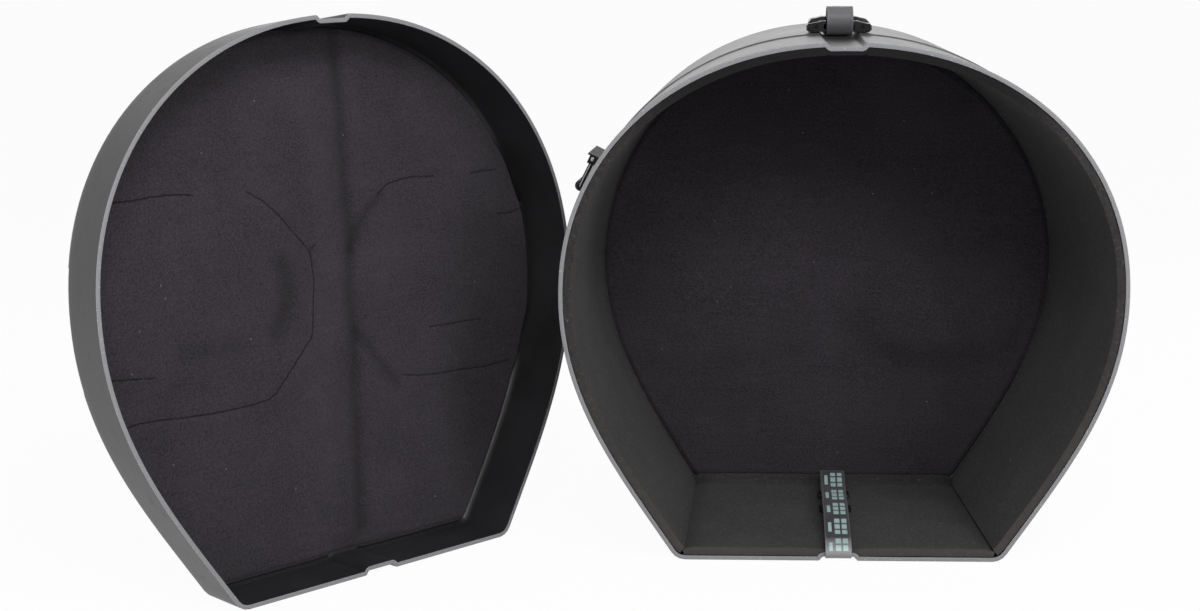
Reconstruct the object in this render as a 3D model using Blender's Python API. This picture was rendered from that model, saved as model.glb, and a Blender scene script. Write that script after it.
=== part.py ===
# Marching bass drum case, opened: a deep moulded body standing with its mouth to the front
# and, beside it, the shallow pull-off lid. Metres, +Z up, body mouth towards -Y.
import math

import bmesh
import bpy
from mathutils import Matrix, Vector

# Case outline: round crown on a flat foot
HALF_WIDTH = 0.403          # widest half-width of the body's lip
WIDE_HEIGHT = 0.386         # height of the widest line
CROWN_RISE = 0.360          # from the widest line up to the crown
CROWN_FULLNESS = 2.12       # 2 is an ellipse, more is squarer
FOOT_HALF = 0.234           # half-width of the flat foot
FLANK_LEAN = 0.588          # lean of the lower flank from upright where it meets the foot, radians
FLANK_PULL = 0.393          # how far the flank's handles reach, share of WIDE_HEIGHT
FOOT_CORNER = 0.014         # cut-back of the foot's rounded corners
CROWN_STEPS = 13
FLANK_STEPS = 8

# Body shell
WALL = 0.006
BODY_DEPTH = 0.405
BODY_SIDE_DRAFT = 0.034     # how much narrower each side is at the back
CROWN_PINCH = 0.022         # further narrowing of the body's back towards the crown
BODY_CROWN_DRAFT = -0.004   # the crown line climbs a little towards the back
BODY_FOOT_DRAFT = 0.0
BODY_EDGE = 0.035           # radius round the back face
SHOULDER_Y = 0.150          # behind it the outside stands a little proud
SHOULDER_RISE = 0.002
SHOULDER_RUN = 0.004
LIP_BREAK = 0.0015
CAP_HEIGHT = WIDE_HEIGHT + CROWN_RISE
WALL_STOPS = (0.120, 0.245)  # rings that keep the pinched wall and its foam in step

# Lid shell: slips over the body's mouth
LID_SCALE = 1.06
LID_DEPTH = 0.095
LID_LEAN = math.radians(5.7)  # draft of the lid's foot, which it stands on
LID_SIDE_DRAFT = 0.012
LID_CROWN_DRAFT = 0.005
LID_EDGE = 0.020
LID_TURN = math.radians(48.5)

# Where the two halves stand; the row's origin is the middle of its footprint
BODY_AT = Vector((0.3100, -0.0216, 0.0))
LID_AT = BODY_AT + Vector((-0.654, -0.0692, 0.0))

# Strap channel round the middle of both halves
CHANNEL_DEPTH = 0.006
CHANNEL_HALF = 0.0215
CHANNEL_FLARE = 1.2         # sideways run of the channel's flanks per unit of depth

# Sunk panels on both end faces, mirrored left and right
PANEL_DEPTH = 0.008
POCKET_DEPTH = 0.008
PANEL_TAPER = 0.6
PANEL_INNER = 0.034         # distance of a panel's inner edge from the middle
BODY_PANEL = (0.228, 0.530)
LID_PANEL = (0.258, 0.556)
LID_POCKET = (0.322, 0.482)
POCKET_INNER = 0.205

# Linings
FOAM = 0.012
SEAT = 0.0003               # air left between pieces that touch
FOAM_SETBACK = 0.003        # side foam stops this far inside the lip

# Webbing
WEB_WIDTH = 0.038
WEB_THICK = 0.002

# Buckle receiver on the crown
BUCKLE_Y = 0.166
BUCKLE_LONG = 0.058
BUCKLE_HALF = 0.0475
BUCKLE_CORE_HALF = 0.027
BUCKLE_TALL = 0.0215
FRONT_TALL = 0.0165
FRONT_SLOT = (0.0140, 0.0180)
SLIDE_BAY = (0.0210, 0.0450)
REAR_SLOT = (0.0475, 0.0520)
BUCKLE_TRAVEL = 0.005
WING_DROOP = 0.003          # the receiver's wings follow the arch of the crown
TAIL_DRIFT = 0.013          # how far the folded strap strays sideways

# Side carrying handles
HANDLE_Y = 0.190
HANDLE_UP = math.radians(25.0)   # outline angle of the handle's middle
PLATE_LONG = 0.112
PLATE_TALL = 0.064
PLATE_THICK = 0.0025
PIVOT_UP = 0.013
PIVOT_OUT = 0.0125
PAD_SINK = 0.0014           # how deep the wall is flattened under the plate
RIVET_SHANK = 0.0022
RIVET_TAIL = -0.0135
RIVET_ALONG = 0.028         # either side of the plate's middle
RIVET_ROWS = (-0.014, 0.0245)
BACKING_HALF = 0.035
BACKING_ROWS = (-0.020, 0.030)
BAIL_RADIUS = 0.003
BAIL_HALF = 0.040
BAIL_BEND = 0.004
BAIL_DROP = 0.046
GRIP_RADIUS = 0.0085
GRIP_HALF = 0.034
EAR_AT = 0.046
EAR_THICK = 0.003

BLACK_SHELL = ("shell_black", (0.020, 0.020, 0.022), 0.42, 0.0)
FOAM_BLACK = ("foam_black", (0.030, 0.029, 0.030), 0.95, 0.0)
FELT_BLACK = ("felt_black", (0.024, 0.021, 0.027), 0.97, 0.0)
WEB_BLACK = ("webbing_black", (0.045, 0.045, 0.048), 0.55, 0.0)
BUCKLE_BLACK = ("buckle_black", (0.025, 0.025, 0.028), 0.32, 0.0)
STEEL_BLACK = ("steel_black", (0.030, 0.030, 0.032), 0.38, 0.6)
STEEL_BRIGHT = ("steel_bright", (0.62, 0.63, 0.65), 0.28, 1.0)
RUBBER_BLACK = ("rubber_black", (0.022, 0.022, 0.022), 0.65, 0.0)


# Scene helpers
def clear_scene():
    for old in list(bpy.data.objects):
        bpy.data.objects.remove(old, do_unlink=True)
    for old in list(bpy.data.collections):
        bpy.data.collections.remove(old)


def new_collection(name):
    made = bpy.data.collections.new(name)
    bpy.context.scene.collection.children.link(made)
    return made


def material(spec):
    name, colour, roughness, metallic = spec
    made = bpy.data.materials.get(name)
    if made is None:
        made = bpy.data.materials.new(name)
        made.use_nodes = True
        shader = made.node_tree.nodes["Principled BSDF"]
        shader.inputs["Base Color"].default_value = (*colour, 1.0)
        shader.inputs["Roughness"].default_value = roughness
        shader.inputs["Metallic"].default_value = metallic
    return made


def add_object(name, mesh, spec, parent=None, place=None):
    made = bpy.data.objects.new(name, mesh)
    if spec:
        mesh.materials.append(material(spec))
        PARTS.objects.link(made)
    else:
        CUTTERS.objects.link(made)
        made.hide_render = True
        made.display_type = "WIRE"
    made.parent = parent
    if place is not None:
        made.matrix_local = place
    return made


def smooth(mesh, angle=35.0):
    mesh.shade_smooth()
    mesh.set_sharp_from_angle(angle=math.radians(angle))


def mesh_from_bmesh(name, bm):
    bmesh.ops.recalc_face_normals(bm, faces=bm.faces)
    mesh = bpy.data.meshes.new(name)
    bm.to_mesh(mesh)
    bm.free()
    smooth(mesh)
    return mesh


def boolean(target, cutter, operation="DIFFERENCE"):
    cut = target.modifiers.new(operation.lower(), "BOOLEAN")
    cut.operation = operation
    cut.solver = "EXACT"
    cut.object = cutter


def empty(name, place, parent=None):
    made = bpy.data.objects.new(name, None)
    PARTS.objects.link(made)
    made.parent = parent
    made.matrix_local = place
    return made


# A closed solid through a row of like rings, with flat ends
def loft(name, rings):
    bm = bmesh.new()
    rows = [[bm.verts.new(point) for point in ring] for ring in rings]
    count = len(rings[0])
    for near, far in zip(rows, rows[1:]):
        for i in range(count):
            j = (i + 1) % count
            bm.faces.new((near[i], near[j], far[j], far[i]))
    bm.faces.new(rows[0])
    bm.faces.new(rows[-1])
    return mesh_from_bmesh(name, bm)


def box(name, low, high, bevel=0.0, segments=2):
    bm = bmesh.new()
    bmesh.ops.create_cube(bm, size=1.0)
    size = Vector(high) - Vector(low)
    middle = (Vector(high) + Vector(low)) / 2
    bmesh.ops.scale(bm, verts=bm.verts, vec=size)
    bmesh.ops.translate(bm, verts=bm.verts, vec=middle)
    if bevel:
        bmesh.ops.bevel(bm, geom=bm.edges[:], offset=bevel, segments=segments,
                        affect="EDGES", profile=0.5, material=-1)
    return mesh_from_bmesh(name, bm)


def cylinder(name, start, end, radius, sides=12, radius_end=None):
    bm = bmesh.new()
    axis = Vector(end) - Vector(start)
    bmesh.ops.create_cone(bm, cap_ends=True, segments=sides, radius1=radius,
                          radius2=radius if radius_end is None else radius_end,
                          depth=axis.length)
    turn = axis.to_track_quat("Z", "Y").to_matrix().to_4x4()
    bmesh.ops.transform(bm, verts=bm.verts,
                        matrix=Matrix.Translation((Vector(start) + Vector(end)) / 2) @ turn)
    return mesh_from_bmesh(name, bm)


# Outline of the case in x and z, from the crown's middle down the +X side
def half_outline():
    points = []
    power = 2.0 / CROWN_FULLNESS
    for step in range(CROWN_STEPS + 1):
        angle = math.pi / 2 * (1 - step / CROWN_STEPS)
        points.append((HALF_WIDTH * math.cos(angle) ** power,
                       WIDE_HEIGHT + CROWN_RISE * math.sin(angle) ** power))
    start = Vector((HALF_WIDTH, WIDE_HEIGHT))
    end = Vector((FOOT_HALF, 0.0))
    pull = FLANK_PULL * WIDE_HEIGHT
    lean = Vector((math.sin(FLANK_LEAN), math.cos(FLANK_LEAN)))
    first = start - Vector((0.0, pull))
    second = end + lean * pull
    for step in range(1, FLANK_STEPS):
        t = step / FLANK_STEPS
        point = (start * (1 - t) ** 3 + first * 3 * t * (1 - t) ** 2
                 + second * 3 * t * t * (1 - t) + end * t ** 3)
        points.append(tuple(point))
    above = end + lean * FOOT_CORNER
    beside = end - Vector((FOOT_CORNER, 0.0))
    for t in (0.0, 0.5, 1.0):
        points.append(tuple(above * (1 - t) ** 2 + end * 2 * t * (1 - t) + beside * t * t))
    return points


def full_outline():
    right = half_outline()
    return right + [(-x, z) for x, z in reversed(right[1:])]


# How much the body's crown is pinched at depth y and outline height z
def pinch(y, z):
    return CROWN_PINCH * max(0.0, y) / BODY_DEPTH * max(0.0, (z - WIDE_HEIGHT) / CROWN_RISE)


# The outline at depth y, drawn in by side, crown and foot; only the body has the pinch
def ring(y, side=0.0, crown=0.0, foot=0.0, scale=1.0):
    tall = (CAP_HEIGHT * scale - crown - foot) / CAP_HEIGHT
    points = []
    for x, z in full_outline():
        drawn = side + (pinch(y, z) if scale == 1.0 else 0.0)
        points.append(Vector((x * (HALF_WIDTH * scale - drawn) / HALF_WIDTH, y, foot + z * tall)))
    return points


# Inset of the body's outside at depth y, before its back edge
def body_inset(y, extra=0.0):
    share = y / BODY_DEPTH
    return (BODY_SIDE_DRAFT * share + extra, BODY_CROWN_DRAFT * share + extra,
            BODY_FOOT_DRAFT * share + extra)


def lid_inset(y, extra=0.0):
    share = y / LID_DEPTH
    return (LID_SIDE_DRAFT * share + extra, LID_CROWN_DRAFT * share + extra,
            LID_DEPTH * math.tan(LID_LEAN) * share + extra)


def edge_rings(inset, depth, radius, extra, scale=1.0, steps=3):
    rings = []
    for step in range(steps + 1):
        angle = math.pi / 2 * step / steps
        y = depth - radius + radius * math.sin(angle)
        drawn = radius * (1 - math.cos(angle))
        rings.append(ring(y, *[value + drawn for value in inset(y, extra)], scale=scale))
    return rings


# The body's outside, proud behind the shoulder; the foot stays level
def body_skin(y, extra=0.0):
    side, crown, foot = body_inset(y, extra)
    if y <= SHOULDER_Y:
        return (side, crown, foot)
    return (side - SHOULDER_RISE, crown - SHOULDER_RISE, foot)


def body_outer():
    behind = SHOULDER_Y + SHOULDER_RUN
    rings = [ring(0.0, *body_inset(0.0, LIP_BREAK)), ring(LIP_BREAK, *body_skin(LIP_BREAK)),
             ring(SHOULDER_Y, *body_skin(SHOULDER_Y)), ring(behind, *body_skin(behind))]
    return rings + edge_rings(body_skin, BODY_DEPTH, BODY_EDGE, 0.0)


def body_cavity(extra=WALL):
    rings = [ring(-0.010, *body_inset(0.0, extra)), ring(0.0, *body_inset(0.0, extra))]
    rings += [ring(y, *body_inset(y, extra)) for y in WALL_STOPS]
    return rings + edge_rings(body_inset, BODY_DEPTH - extra, BODY_EDGE - extra, extra)


def lid_outer():
    rings = [ring(0.0, *lid_inset(0.0, LIP_BREAK), scale=LID_SCALE),
             ring(LIP_BREAK, *lid_inset(LIP_BREAK), scale=LID_SCALE)]
    return rings + edge_rings(lid_inset, LID_DEPTH, LID_EDGE, 0.0, LID_SCALE)


def lid_cavity(extra=WALL):
    rings = [ring(-0.010, *lid_inset(0.0, extra), scale=LID_SCALE),
             ring(0.0, *lid_inset(0.0, extra), scale=LID_SCALE)]
    return rings + edge_rings(lid_inset, LID_DEPTH - extra, LID_EDGE - extra, extra, LID_SCALE)


# Stations along the outside in the plane x = 0: point and outward normal in y and z
def girth(inset, depth, radius, height, crown_stops=(), front=-0.020):
    def top(y):
        return height - inset(y)[1]

    def foot(y):
        return inset(y)[2]

    bend = depth - radius
    stations = [(Vector((front, top(0.0))), Vector((0.0, 1.0)))]
    stations += [(Vector((y, top(y))), Vector((0.0, 1.0))) for y in crown_stops]
    for step in range(5):
        angle = math.pi / 2 * step / 4
        middle = Vector((bend, top(bend) - radius))
        normal = Vector((math.sin(angle), math.cos(angle)))
        stations.append((middle + normal * radius, normal))
    for step in range(5):
        angle = math.pi / 2 * step / 4
        middle = Vector((bend, foot(bend) + radius))
        normal = Vector((math.cos(angle), -math.sin(angle)))
        stations.append((middle + normal * radius, normal))
    stations.append((Vector((front, foot(0.0))), Vector((0.0, -1.0))))
    return stations


# Trapezoid bar that follows the girth: the channel itself, or its ridge inside
def girth_bar(stations, depth, half, proud=0.010):
    wide = half + (depth + proud) * CHANNEL_FLARE
    rings = []
    for point, normal in stations:
        low = point - normal * depth
        high = point + normal * proud
        rings.append([Vector((-half, *low)), Vector((half, *low)),
                      Vector((wide, *high)), Vector((-wide, *high))])
    return rings


def ridge_bar(stations, clearance=0.0):
    return girth_bar(stations, CHANNEL_DEPTH + WALL + clearance,
                     CHANNEL_HALF + WALL * 0.6 + clearance, proud=0.004)


# A convex outline moved outwards by an amount
def grow(points, amount):
    grown = []
    count = len(points)
    for i in range(count):
        before, here, after = (Vector(points[i - 1]), Vector(points[i]),
                               Vector(points[(i + 1) % count]))
        first = (here - before).normalized()
        second = (after - here).normalized()
        normal_a = Vector((first.y, -first.x))
        normal_b = Vector((second.y, -second.x))
        bisector = (normal_a + normal_b).normalized()
        grown.append(here + bisector * (amount / max(0.3, bisector.dot(normal_a))))
    return grown


# Outline of one sunk panel on the +X side, counter-clockwise from its lower outer corner
def panel_outline(low, high):
    return [(0.470, low), (0.470, high), (0.215, high), (0.120, high - 0.007),
            (0.072, high - 0.036), (PANEL_INNER, high - 0.091), (PANEL_INNER, low + 0.072),
            (0.064, low + 0.028), (0.100, low + 0.004), (0.160, low)]


def pocket_outline(low, high):
    return [(0.470, low), (0.470, high), (POCKET_INNER + 0.020, high),
            (POCKET_INNER, high - 0.025), (POCKET_INNER, low + 0.025),
            (POCKET_INNER + 0.020, low)]


def panel_rings(outline, depth, sunk, side, extra=0.0):
    floor = grow(outline, -0.002 + extra)
    mouth = grow(outline, sunk * PANEL_TAPER + 0.012 + extra)
    near = [Vector((x * side, depth - sunk - extra, z)) for x, z in floor]
    far = [Vector((x * side, depth + 0.020, z)) for x, z in mouth]
    return [near, far]


def cutter(name, rings, parent):
    return add_object(name, loft(name, rings), None, parent)


# A shell: outside less channel and panels, less a cavity that keeps the wall behind them
def make_shell(name, outer, cavity, stations, panels, parent):
    shell = add_object(name, loft(name, outer), BLACK_SHELL, parent)
    hollow = cutter(name + "_cavity", cavity, parent)
    ridge = cutter(name + "_ridge", ridge_bar(stations), parent)
    boolean(hollow, ridge)
    channel = cutter(name + "_channel", girth_bar(stations, CHANNEL_DEPTH, CHANNEL_HALF), parent)
    boolean(shell, channel)
    for index, (outline, depth, sunk) in enumerate(panels):
        for side, word in ((1, "right"), (-1, "left")):
            label = f"{name}_panel_{index}_{word}"
            boolean(shell, cutter(label, panel_rings(outline, depth, sunk, side), parent))
            boolean(hollow, cutter(label + "_inside",
                                   panel_rings(outline, depth, sunk, side, WALL), parent))
    boolean(shell, hollow)
    return shell


def make_body(parent):
    stations = girth(body_skin, BODY_DEPTH, BODY_EDGE, CAP_HEIGHT,
                     (SHOULDER_Y, SHOULDER_Y + SHOULDER_RUN))
    panels = [(panel_outline(*BODY_PANEL), BODY_DEPTH, PANEL_DEPTH)]
    shell = make_shell("body_shell", body_outer(), body_cavity(), stations, panels, parent)
    return shell, stations, panels


def make_lid(parent):
    stations = girth(lid_inset, LID_DEPTH, LID_EDGE, CAP_HEIGHT * LID_SCALE)
    panels = [(panel_outline(*LID_PANEL), LID_DEPTH, PANEL_DEPTH),
              (pocket_outline(*LID_POCKET), LID_DEPTH, PANEL_DEPTH + POCKET_DEPTH)]
    make_shell("lid_shell", lid_outer(), lid_cavity(), stations, panels, parent)
    return stations, panels


# Foam strip over flanks and crown, from one foot corner round to the other
def make_side_foam(parent, stations):
    inner_edge = BODY_EDGE - WALL
    front = FOAM_SETBACK
    bend = BODY_DEPTH - BODY_EDGE
    back = BODY_DEPTH - WALL - FOAM - 0.004
    tuck = inner_edge * (1 - math.cos(math.asin((back - bend) / inner_edge))) + SEAT * 3
    skin = WALL + SEAT * 2
    rows = [ring(y, *body_inset(y, skin)) for y in (front, *WALL_STOPS, bend)]
    rows += [ring(back, *body_inset(back, skin + tuck)),
             ring(back, *body_inset(back, skin + tuck + FOAM * 0.9))]
    rows += [ring(y, *body_inset(y, skin + FOAM)) for y in (bend, *reversed(WALL_STOPS))]
    rows += [ring(front + 0.002, *body_inset(front, skin + FOAM)),
             ring(front, *body_inset(front, skin + FOAM - 0.003))]
    right = len(half_outline())
    corner = right - 2
    count = len(rows[0])
    order = list(range(corner, -1, -1)) + list(range(count - 1, count - corner - 1, -1))
    rings = [[row[i] for row in rows] for i in order]
    foam = add_object("side_foam", loft("side_foam", rings), FOAM_BLACK, parent)
    groove = cutter("side_foam_groove", ridge_bar(stations, SEAT), parent)
    boolean(foam, groove)
    return foam


def make_floor_foam(parent, stations):
    skin = WALL + SEAT
    low, high = skin, skin + FOAM
    half_low = FOOT_HALF - FOOT_CORNER - 0.005
    half_high = half_low + 0.0025
    front, back = FOAM_SETBACK, BODY_DEPTH - WALL - FOAM - 0.006
    narrow = BODY_SIDE_DRAFT * FOOT_HALF / HALF_WIDTH
    rings = []
    for y, less, lift in ((front, 0.0, 0.0), (BODY_DEPTH - BODY_EDGE, narrow, 0.0),
                          (back, narrow, 0.0035)):
        rings.append([Vector((-half_low + less, y, low + lift)),
                      Vector((half_low - less, y, low + lift)),
                      Vector((half_high - less, y, high)), Vector((-half_high + less, y, high))])
    foam = add_object("floor_foam", loft("floor_foam", rings), FOAM_BLACK, parent)
    boolean(foam, cutter("floor_foam_groove", ridge_bar(stations, SEAT), parent))
    return foam


# Felt over foam on an end face, with the panels standing through as raised plateaus
def make_face_felt(name, parent, inset, depth, scale, draw, tuck, stations, panels):
    back = depth - WALL - SEAT
    front = back - FOAM
    lean = inset(depth)

    def slab(near):
        return [ring(near, *[v + draw for v in lean], scale=scale),
                ring(back - 0.004, *[v + draw for v in lean], scale=scale),
                ring(back, *[v + draw + tuck for v in lean], scale=scale)]

    felt = add_object(name, loft(name, slab(front)), FELT_BLACK, parent)
    limit = cutter(name + "_limit", slab(front - 0.030), parent)
    for index, (outline, panel_depth, sunk) in enumerate(panels):
        for side, word in ((1, "right"), (-1, "left")):
            label = f"{name}_{index}_{word}"
            rise = cutter(label + "_rise",
                          panel_rings(outline, panel_depth, sunk, side, WALL + FOAM), parent)
            boolean(rise, limit, "INTERSECT")
            boolean(felt, rise, "UNION")
    for index, (outline, panel_depth, sunk) in enumerate(panels):
        for side, word in ((1, "right"), (-1, "left")):
            seat = panel_rings(outline, panel_depth, sunk, side, WALL + SEAT)
            boolean(felt, cutter(f"{name}_{index}_{word}_seat", seat, parent))
    boolean(felt, cutter(name + "_groove", ridge_bar(stations, SEAT), parent))
    return felt


# Flat webbing along a path in y and z
def ribbon_rings(path, shift=None, width=WEB_WIDTH, thick=WEB_THICK):
    rings = []
    for i, point in enumerate(path):
        before = path[max(i - 1, 0)]
        after = path[min(i + 1, len(path) - 1)]
        along = (after - before).normalized()
        normal = Vector((-along.y, along.x)) * (thick / 2)
        x = shift[i] if shift else 0.0
        low, high = point - normal, point + normal
        rings.append([Vector((x - width / 2, *low)), Vector((x + width / 2, *low)),
                      Vector((x + width / 2, *high)), Vector((x - width / 2, *high))])
    return rings


def smooth_path(points, steps):
    path = []
    for i in range(len(points) - 1):
        p0 = points[max(i - 1, 0)]
        p1, p2 = points[i], points[i + 1]
        p3 = points[min(i + 2, len(points) - 1)]
        for step in range(steps):
            t = step / steps
            path.append(0.5 * (2 * p1 + (p2 - p0) * t + (2 * p0 - 5 * p1 + 4 * p2 - p3) * t * t
                               + (3 * p1 - p0 - 3 * p2 + p3) * t ** 3))
    path.append(points[-1])
    return path


# The closing strap: up through the receiver's rear slot, back over the case, under it, in
# over the lip and folded on the floor, ending over the bar of the loose tongue
def make_strap(parent, stations, deck):
    sunk = CHANNEL_DEPTH - SEAT - WEB_THICK / 2 - 0.0002
    outer = [point - normal * sunk for point, normal in stations][3:-1]
    slot_y = BUCKLE_Y + (REAR_SLOT[0] + REAR_SLOT[1]) / 2
    land_y = slot_y + 0.0130
    low = CAP_HEIGHT - body_skin(land_y)[1] - sunk
    rise = [Vector(p) for p in ((slot_y, deck + 0.0110), (slot_y, deck + 0.0030),
                                (slot_y + 0.0030, low + 0.0018), (land_y, low))]
    floor_z = WALL + SEAT + FOAM
    inside = [Vector(p) for p in (
        (0.012, sunk), (0.003, sunk), (-0.0020, sunk + 0.0006), (-0.0048, 0.0080),
        (-0.0056, 0.0135), (-0.0038, 0.0190), (0.0030, 0.0226), (0.014, floor_z + 0.0062),
        (0.060, floor_z + 0.0085), (0.120, floor_z + 0.0145), (0.200, floor_z + 0.0150),
        (0.290, floor_z + 0.0135), (0.338, floor_z + 0.0200),
        (0.356, floor_z + 0.0215), (0.3640, floor_z + 0.0145), (0.356, floor_z + 0.0060),
        (0.338, floor_z + 0.0022), (0.240, floor_z + 0.0022), (0.2225, floor_z + 0.0050),
        (0.2145, floor_z + 0.0078), (0.2085, floor_z + 0.0085), (0.2058, floor_z + 0.0078),
        (0.2045, floor_z + 0.0055), (0.2045, floor_z + 0.0030))]
    inside = smooth_path(inside, 3)
    path = smooth_path(rise, 3) + outer + inside
    still = len(path) - len(inside)
    shift = [0.0] * still + [TAIL_DRIFT * min(1.0, max(0.0, p.x / 0.34)) for p in inside]
    return add_object("closing_strap", loft("closing_strap", ribbon_rings(path, shift)),
                      WEB_BLACK, parent)


# Spare webbing that stands up in a loop round the receiver's front
def make_strap_loop(parent, deck):
    low = deck - CHANNEL_DEPTH + SEAT + WEB_THICK / 2 + 0.0004
    slot_y = BUCKLE_Y + (FRONT_SLOT[0] + FRONT_SLOT[1]) / 2
    top = deck + FRONT_TALL
    points = [Vector(p) for p in (
        (BUCKLE_Y + 0.016, low), (BUCKLE_Y + 0.002, low + 0.0003), (BUCKLE_Y - 0.009, low + 0.004),
        (BUCKLE_Y - 0.017, low + 0.016), (BUCKLE_Y - 0.017, top + 0.008),
        (BUCKLE_Y - 0.006, top + 0.0195), (BUCKLE_Y + 0.008, top + 0.0175),
        (slot_y - 0.0006, top + 0.0060), (slot_y, top - 0.0010), (slot_y, top - 0.0040))]
    path = smooth_path(points, 3)
    return add_object("strap_loop", loft("strap_loop", ribbon_rings(path)), WEB_BLACK, parent)


# Receiver: a low front bar with hollow wing faces, a taller ribbed block behind it and a
# mouth between them for the tongue
def receiver_ring(y, half, wing, top):
    core = BUCKLE_CORE_HALF * half / BUCKLE_HALF
    right = [(core, 0.0), (half - 0.004, -WING_DROOP * 0.25), (half, 0.0025),
             (half, wing - WING_DROOP - 0.0030), (half - 0.003, wing - WING_DROOP),
             (core + 0.004, wing), (core, top)]
    left = [(-x, z) for x, z in reversed(right)]
    return [Vector((x, y, z)) for x, z in right + left]


def make_receiver(parent, deck):
    place = Matrix.Translation((0.0, BUCKLE_Y, deck))
    front, rear = FRONT_TALL - 0.0015, BUCKLE_TALL - 0.0010
    rings = [receiver_ring(0.0, BUCKLE_HALF - 0.002, front - 0.0005, FRONT_TALL - 0.001),
             receiver_ring(0.003, BUCKLE_HALF, front, FRONT_TALL),
             receiver_ring(0.0130, BUCKLE_HALF, front, FRONT_TALL),
             receiver_ring(0.0155, BUCKLE_HALF - 0.004, rear, BUCKLE_TALL),
             receiver_ring(0.0400, BUCKLE_HALF - 0.004, rear, BUCKLE_TALL),
             receiver_ring(BUCKLE_LONG, BUCKLE_HALF - 0.015, 0.0130, 0.0140)]
    body = add_object("buckle_receiver", loft("buckle_receiver", rings), BUCKLE_BLACK,
                      parent, place)
    hole = BUCKLE_CORE_HALF + 0.0035
    cuts = {"mouth": ((-0.0225, -0.004, 0.0040), (0.0225, 0.0400, 0.0110)),
            "front_slot": ((-0.0200, FRONT_SLOT[0], 0.0050), (0.0200, FRONT_SLOT[1], 0.0300)),
            "slide_bay": ((-0.0175, SLIDE_BAY[0], 0.0135), (0.0175, SLIDE_BAY[1], 0.0300)),
            "rear_slot": ((-0.0200, REAR_SLOT[0], -0.0040), (0.0200, REAR_SLOT[1], 0.0300)),
            "hollow_right": ((hole, -0.004, 0.0032), (BUCKLE_HALF - 0.0025, 0.0065, 0.0118)),
            "hollow_left": ((-BUCKLE_HALF + 0.0025, -0.004, 0.0032), (-hole, 0.0065, 0.0118))}
    for word, (low, high) in cuts.items():
        boolean(body, add_object("receiver_" + word, box(word, low, high), None, parent, place))
    for side in (-1, 1):
        eye = cylinder("eye", (side * 0.0340, -0.010, 0.0075), (side * 0.0340, 0.024, 0.0075),
                       0.0034, 10)
        boolean(body, add_object(f"receiver_eye_{side}", eye, None, parent, place))
        for row in range(3):
            y = 0.0185 + row * 0.0075
            inner, outer = side * (BUCKLE_CORE_HALF + 0.008), side * (BUCKLE_HALF + 0.010)
            rib = box("rib", (min(inner, outer), y, BUCKLE_TALL - 0.0046),
                      (max(inner, outer), y + 0.0035, 0.0300))
            boolean(body, add_object(f"receiver_rib_{side}_{row}", rib, None, parent, place))
    return body


def make_release_slide(parent, deck):
    place = Matrix.Translation((0.0, BUCKLE_Y, deck))
    low = (-0.0172, SLIDE_BAY[0] + SEAT, 0.0135 + SEAT)
    high = (0.0172, SLIDE_BAY[1] - BUCKLE_TRAVEL - 0.0010, BUCKLE_TALL + 0.0020)
    slide = add_object("buckle_release_slide",
                       box("buckle_release_slide", low, high, bevel=0.0010, segments=1),
                       BUCKLE_BLACK, parent, place)
    for row in range(4):
        y = low[1] + 0.0030 + row * 0.0040
        groove = box("grip_groove", (-0.030, y, high[2] - 0.0014), (0.030, y + 0.0020, 0.030))
        boolean(slide, add_object(f"release_groove_{row}", groove, None, parent, place))
    return slide


# A flat outline as a filled curve with thickness, made a mesh with its caps welded
def flat_plate(name, outline, thick, bevel=0.0006):
    curve = bpy.data.curves.new(name, "CURVE")
    curve.dimensions = "2D"
    curve.fill_mode = "BOTH"
    curve.extrude = thick / 2 - bevel
    curve.bevel_depth = bevel
    curve.bevel_resolution = 0
    curve.offset = -bevel
    line = curve.splines.new("POLY")
    line.points.add(len(outline) - 1)
    for point, (x, y) in zip(line.points, outline):
        point.co = (x, y, 0.0, 1.0)
    line.use_cyclic_u = True
    holder = bpy.data.objects.new(name + "_curve", curve)
    bpy.context.scene.collection.objects.link(holder)
    bpy.context.view_layer.update()
    graph = bpy.context.evaluated_depsgraph_get()
    flat = bpy.data.meshes.new_from_object(holder.evaluated_get(graph))
    bpy.data.objects.remove(holder)
    bm = bmesh.new()
    bm.from_mesh(flat)
    bpy.data.meshes.remove(flat)
    bmesh.ops.remove_doubles(bm, verts=bm.verts, dist=1e-5)
    bmesh.ops.translate(bm, verts=bm.verts, vec=(0.0, 0.0, thick / 2))
    return mesh_from_bmesh(name, bm)


# Loose half of the buckle on the strap's free end: bar to the back, prongs to the front
def make_tongue(parent):
    place = (Matrix.Translation((TAIL_DRIFT * 0.62, 0.212, WALL + SEAT * 2 + FOAM))
             @ Matrix.Rotation(math.pi, 4, "Z"))
    right = [(0.0215, 0.0), (0.0240, 0.004), (0.0240, 0.022), (0.0195, 0.030), (0.0165, 0.062),
             (0.0185, 0.068), (0.0150, 0.078), (0.0100, 0.080), (0.0095, 0.034)]
    outline = right + [(-x, y) for x, y in reversed(right)]
    tongue = add_object("buckle_tongue", flat_plate("buckle_tongue", outline, 0.0060),
                        BUCKLE_BLACK, parent, place)
    for index, y in enumerate((0.0055, 0.0150)):
        slot = box("slot", (-0.0200, y, -0.010), (0.0200, y + 0.0040, 0.020))
        boolean(tongue, add_object(f"tongue_slot_{index}", slot, None, parent, place))
    return tongue


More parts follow.
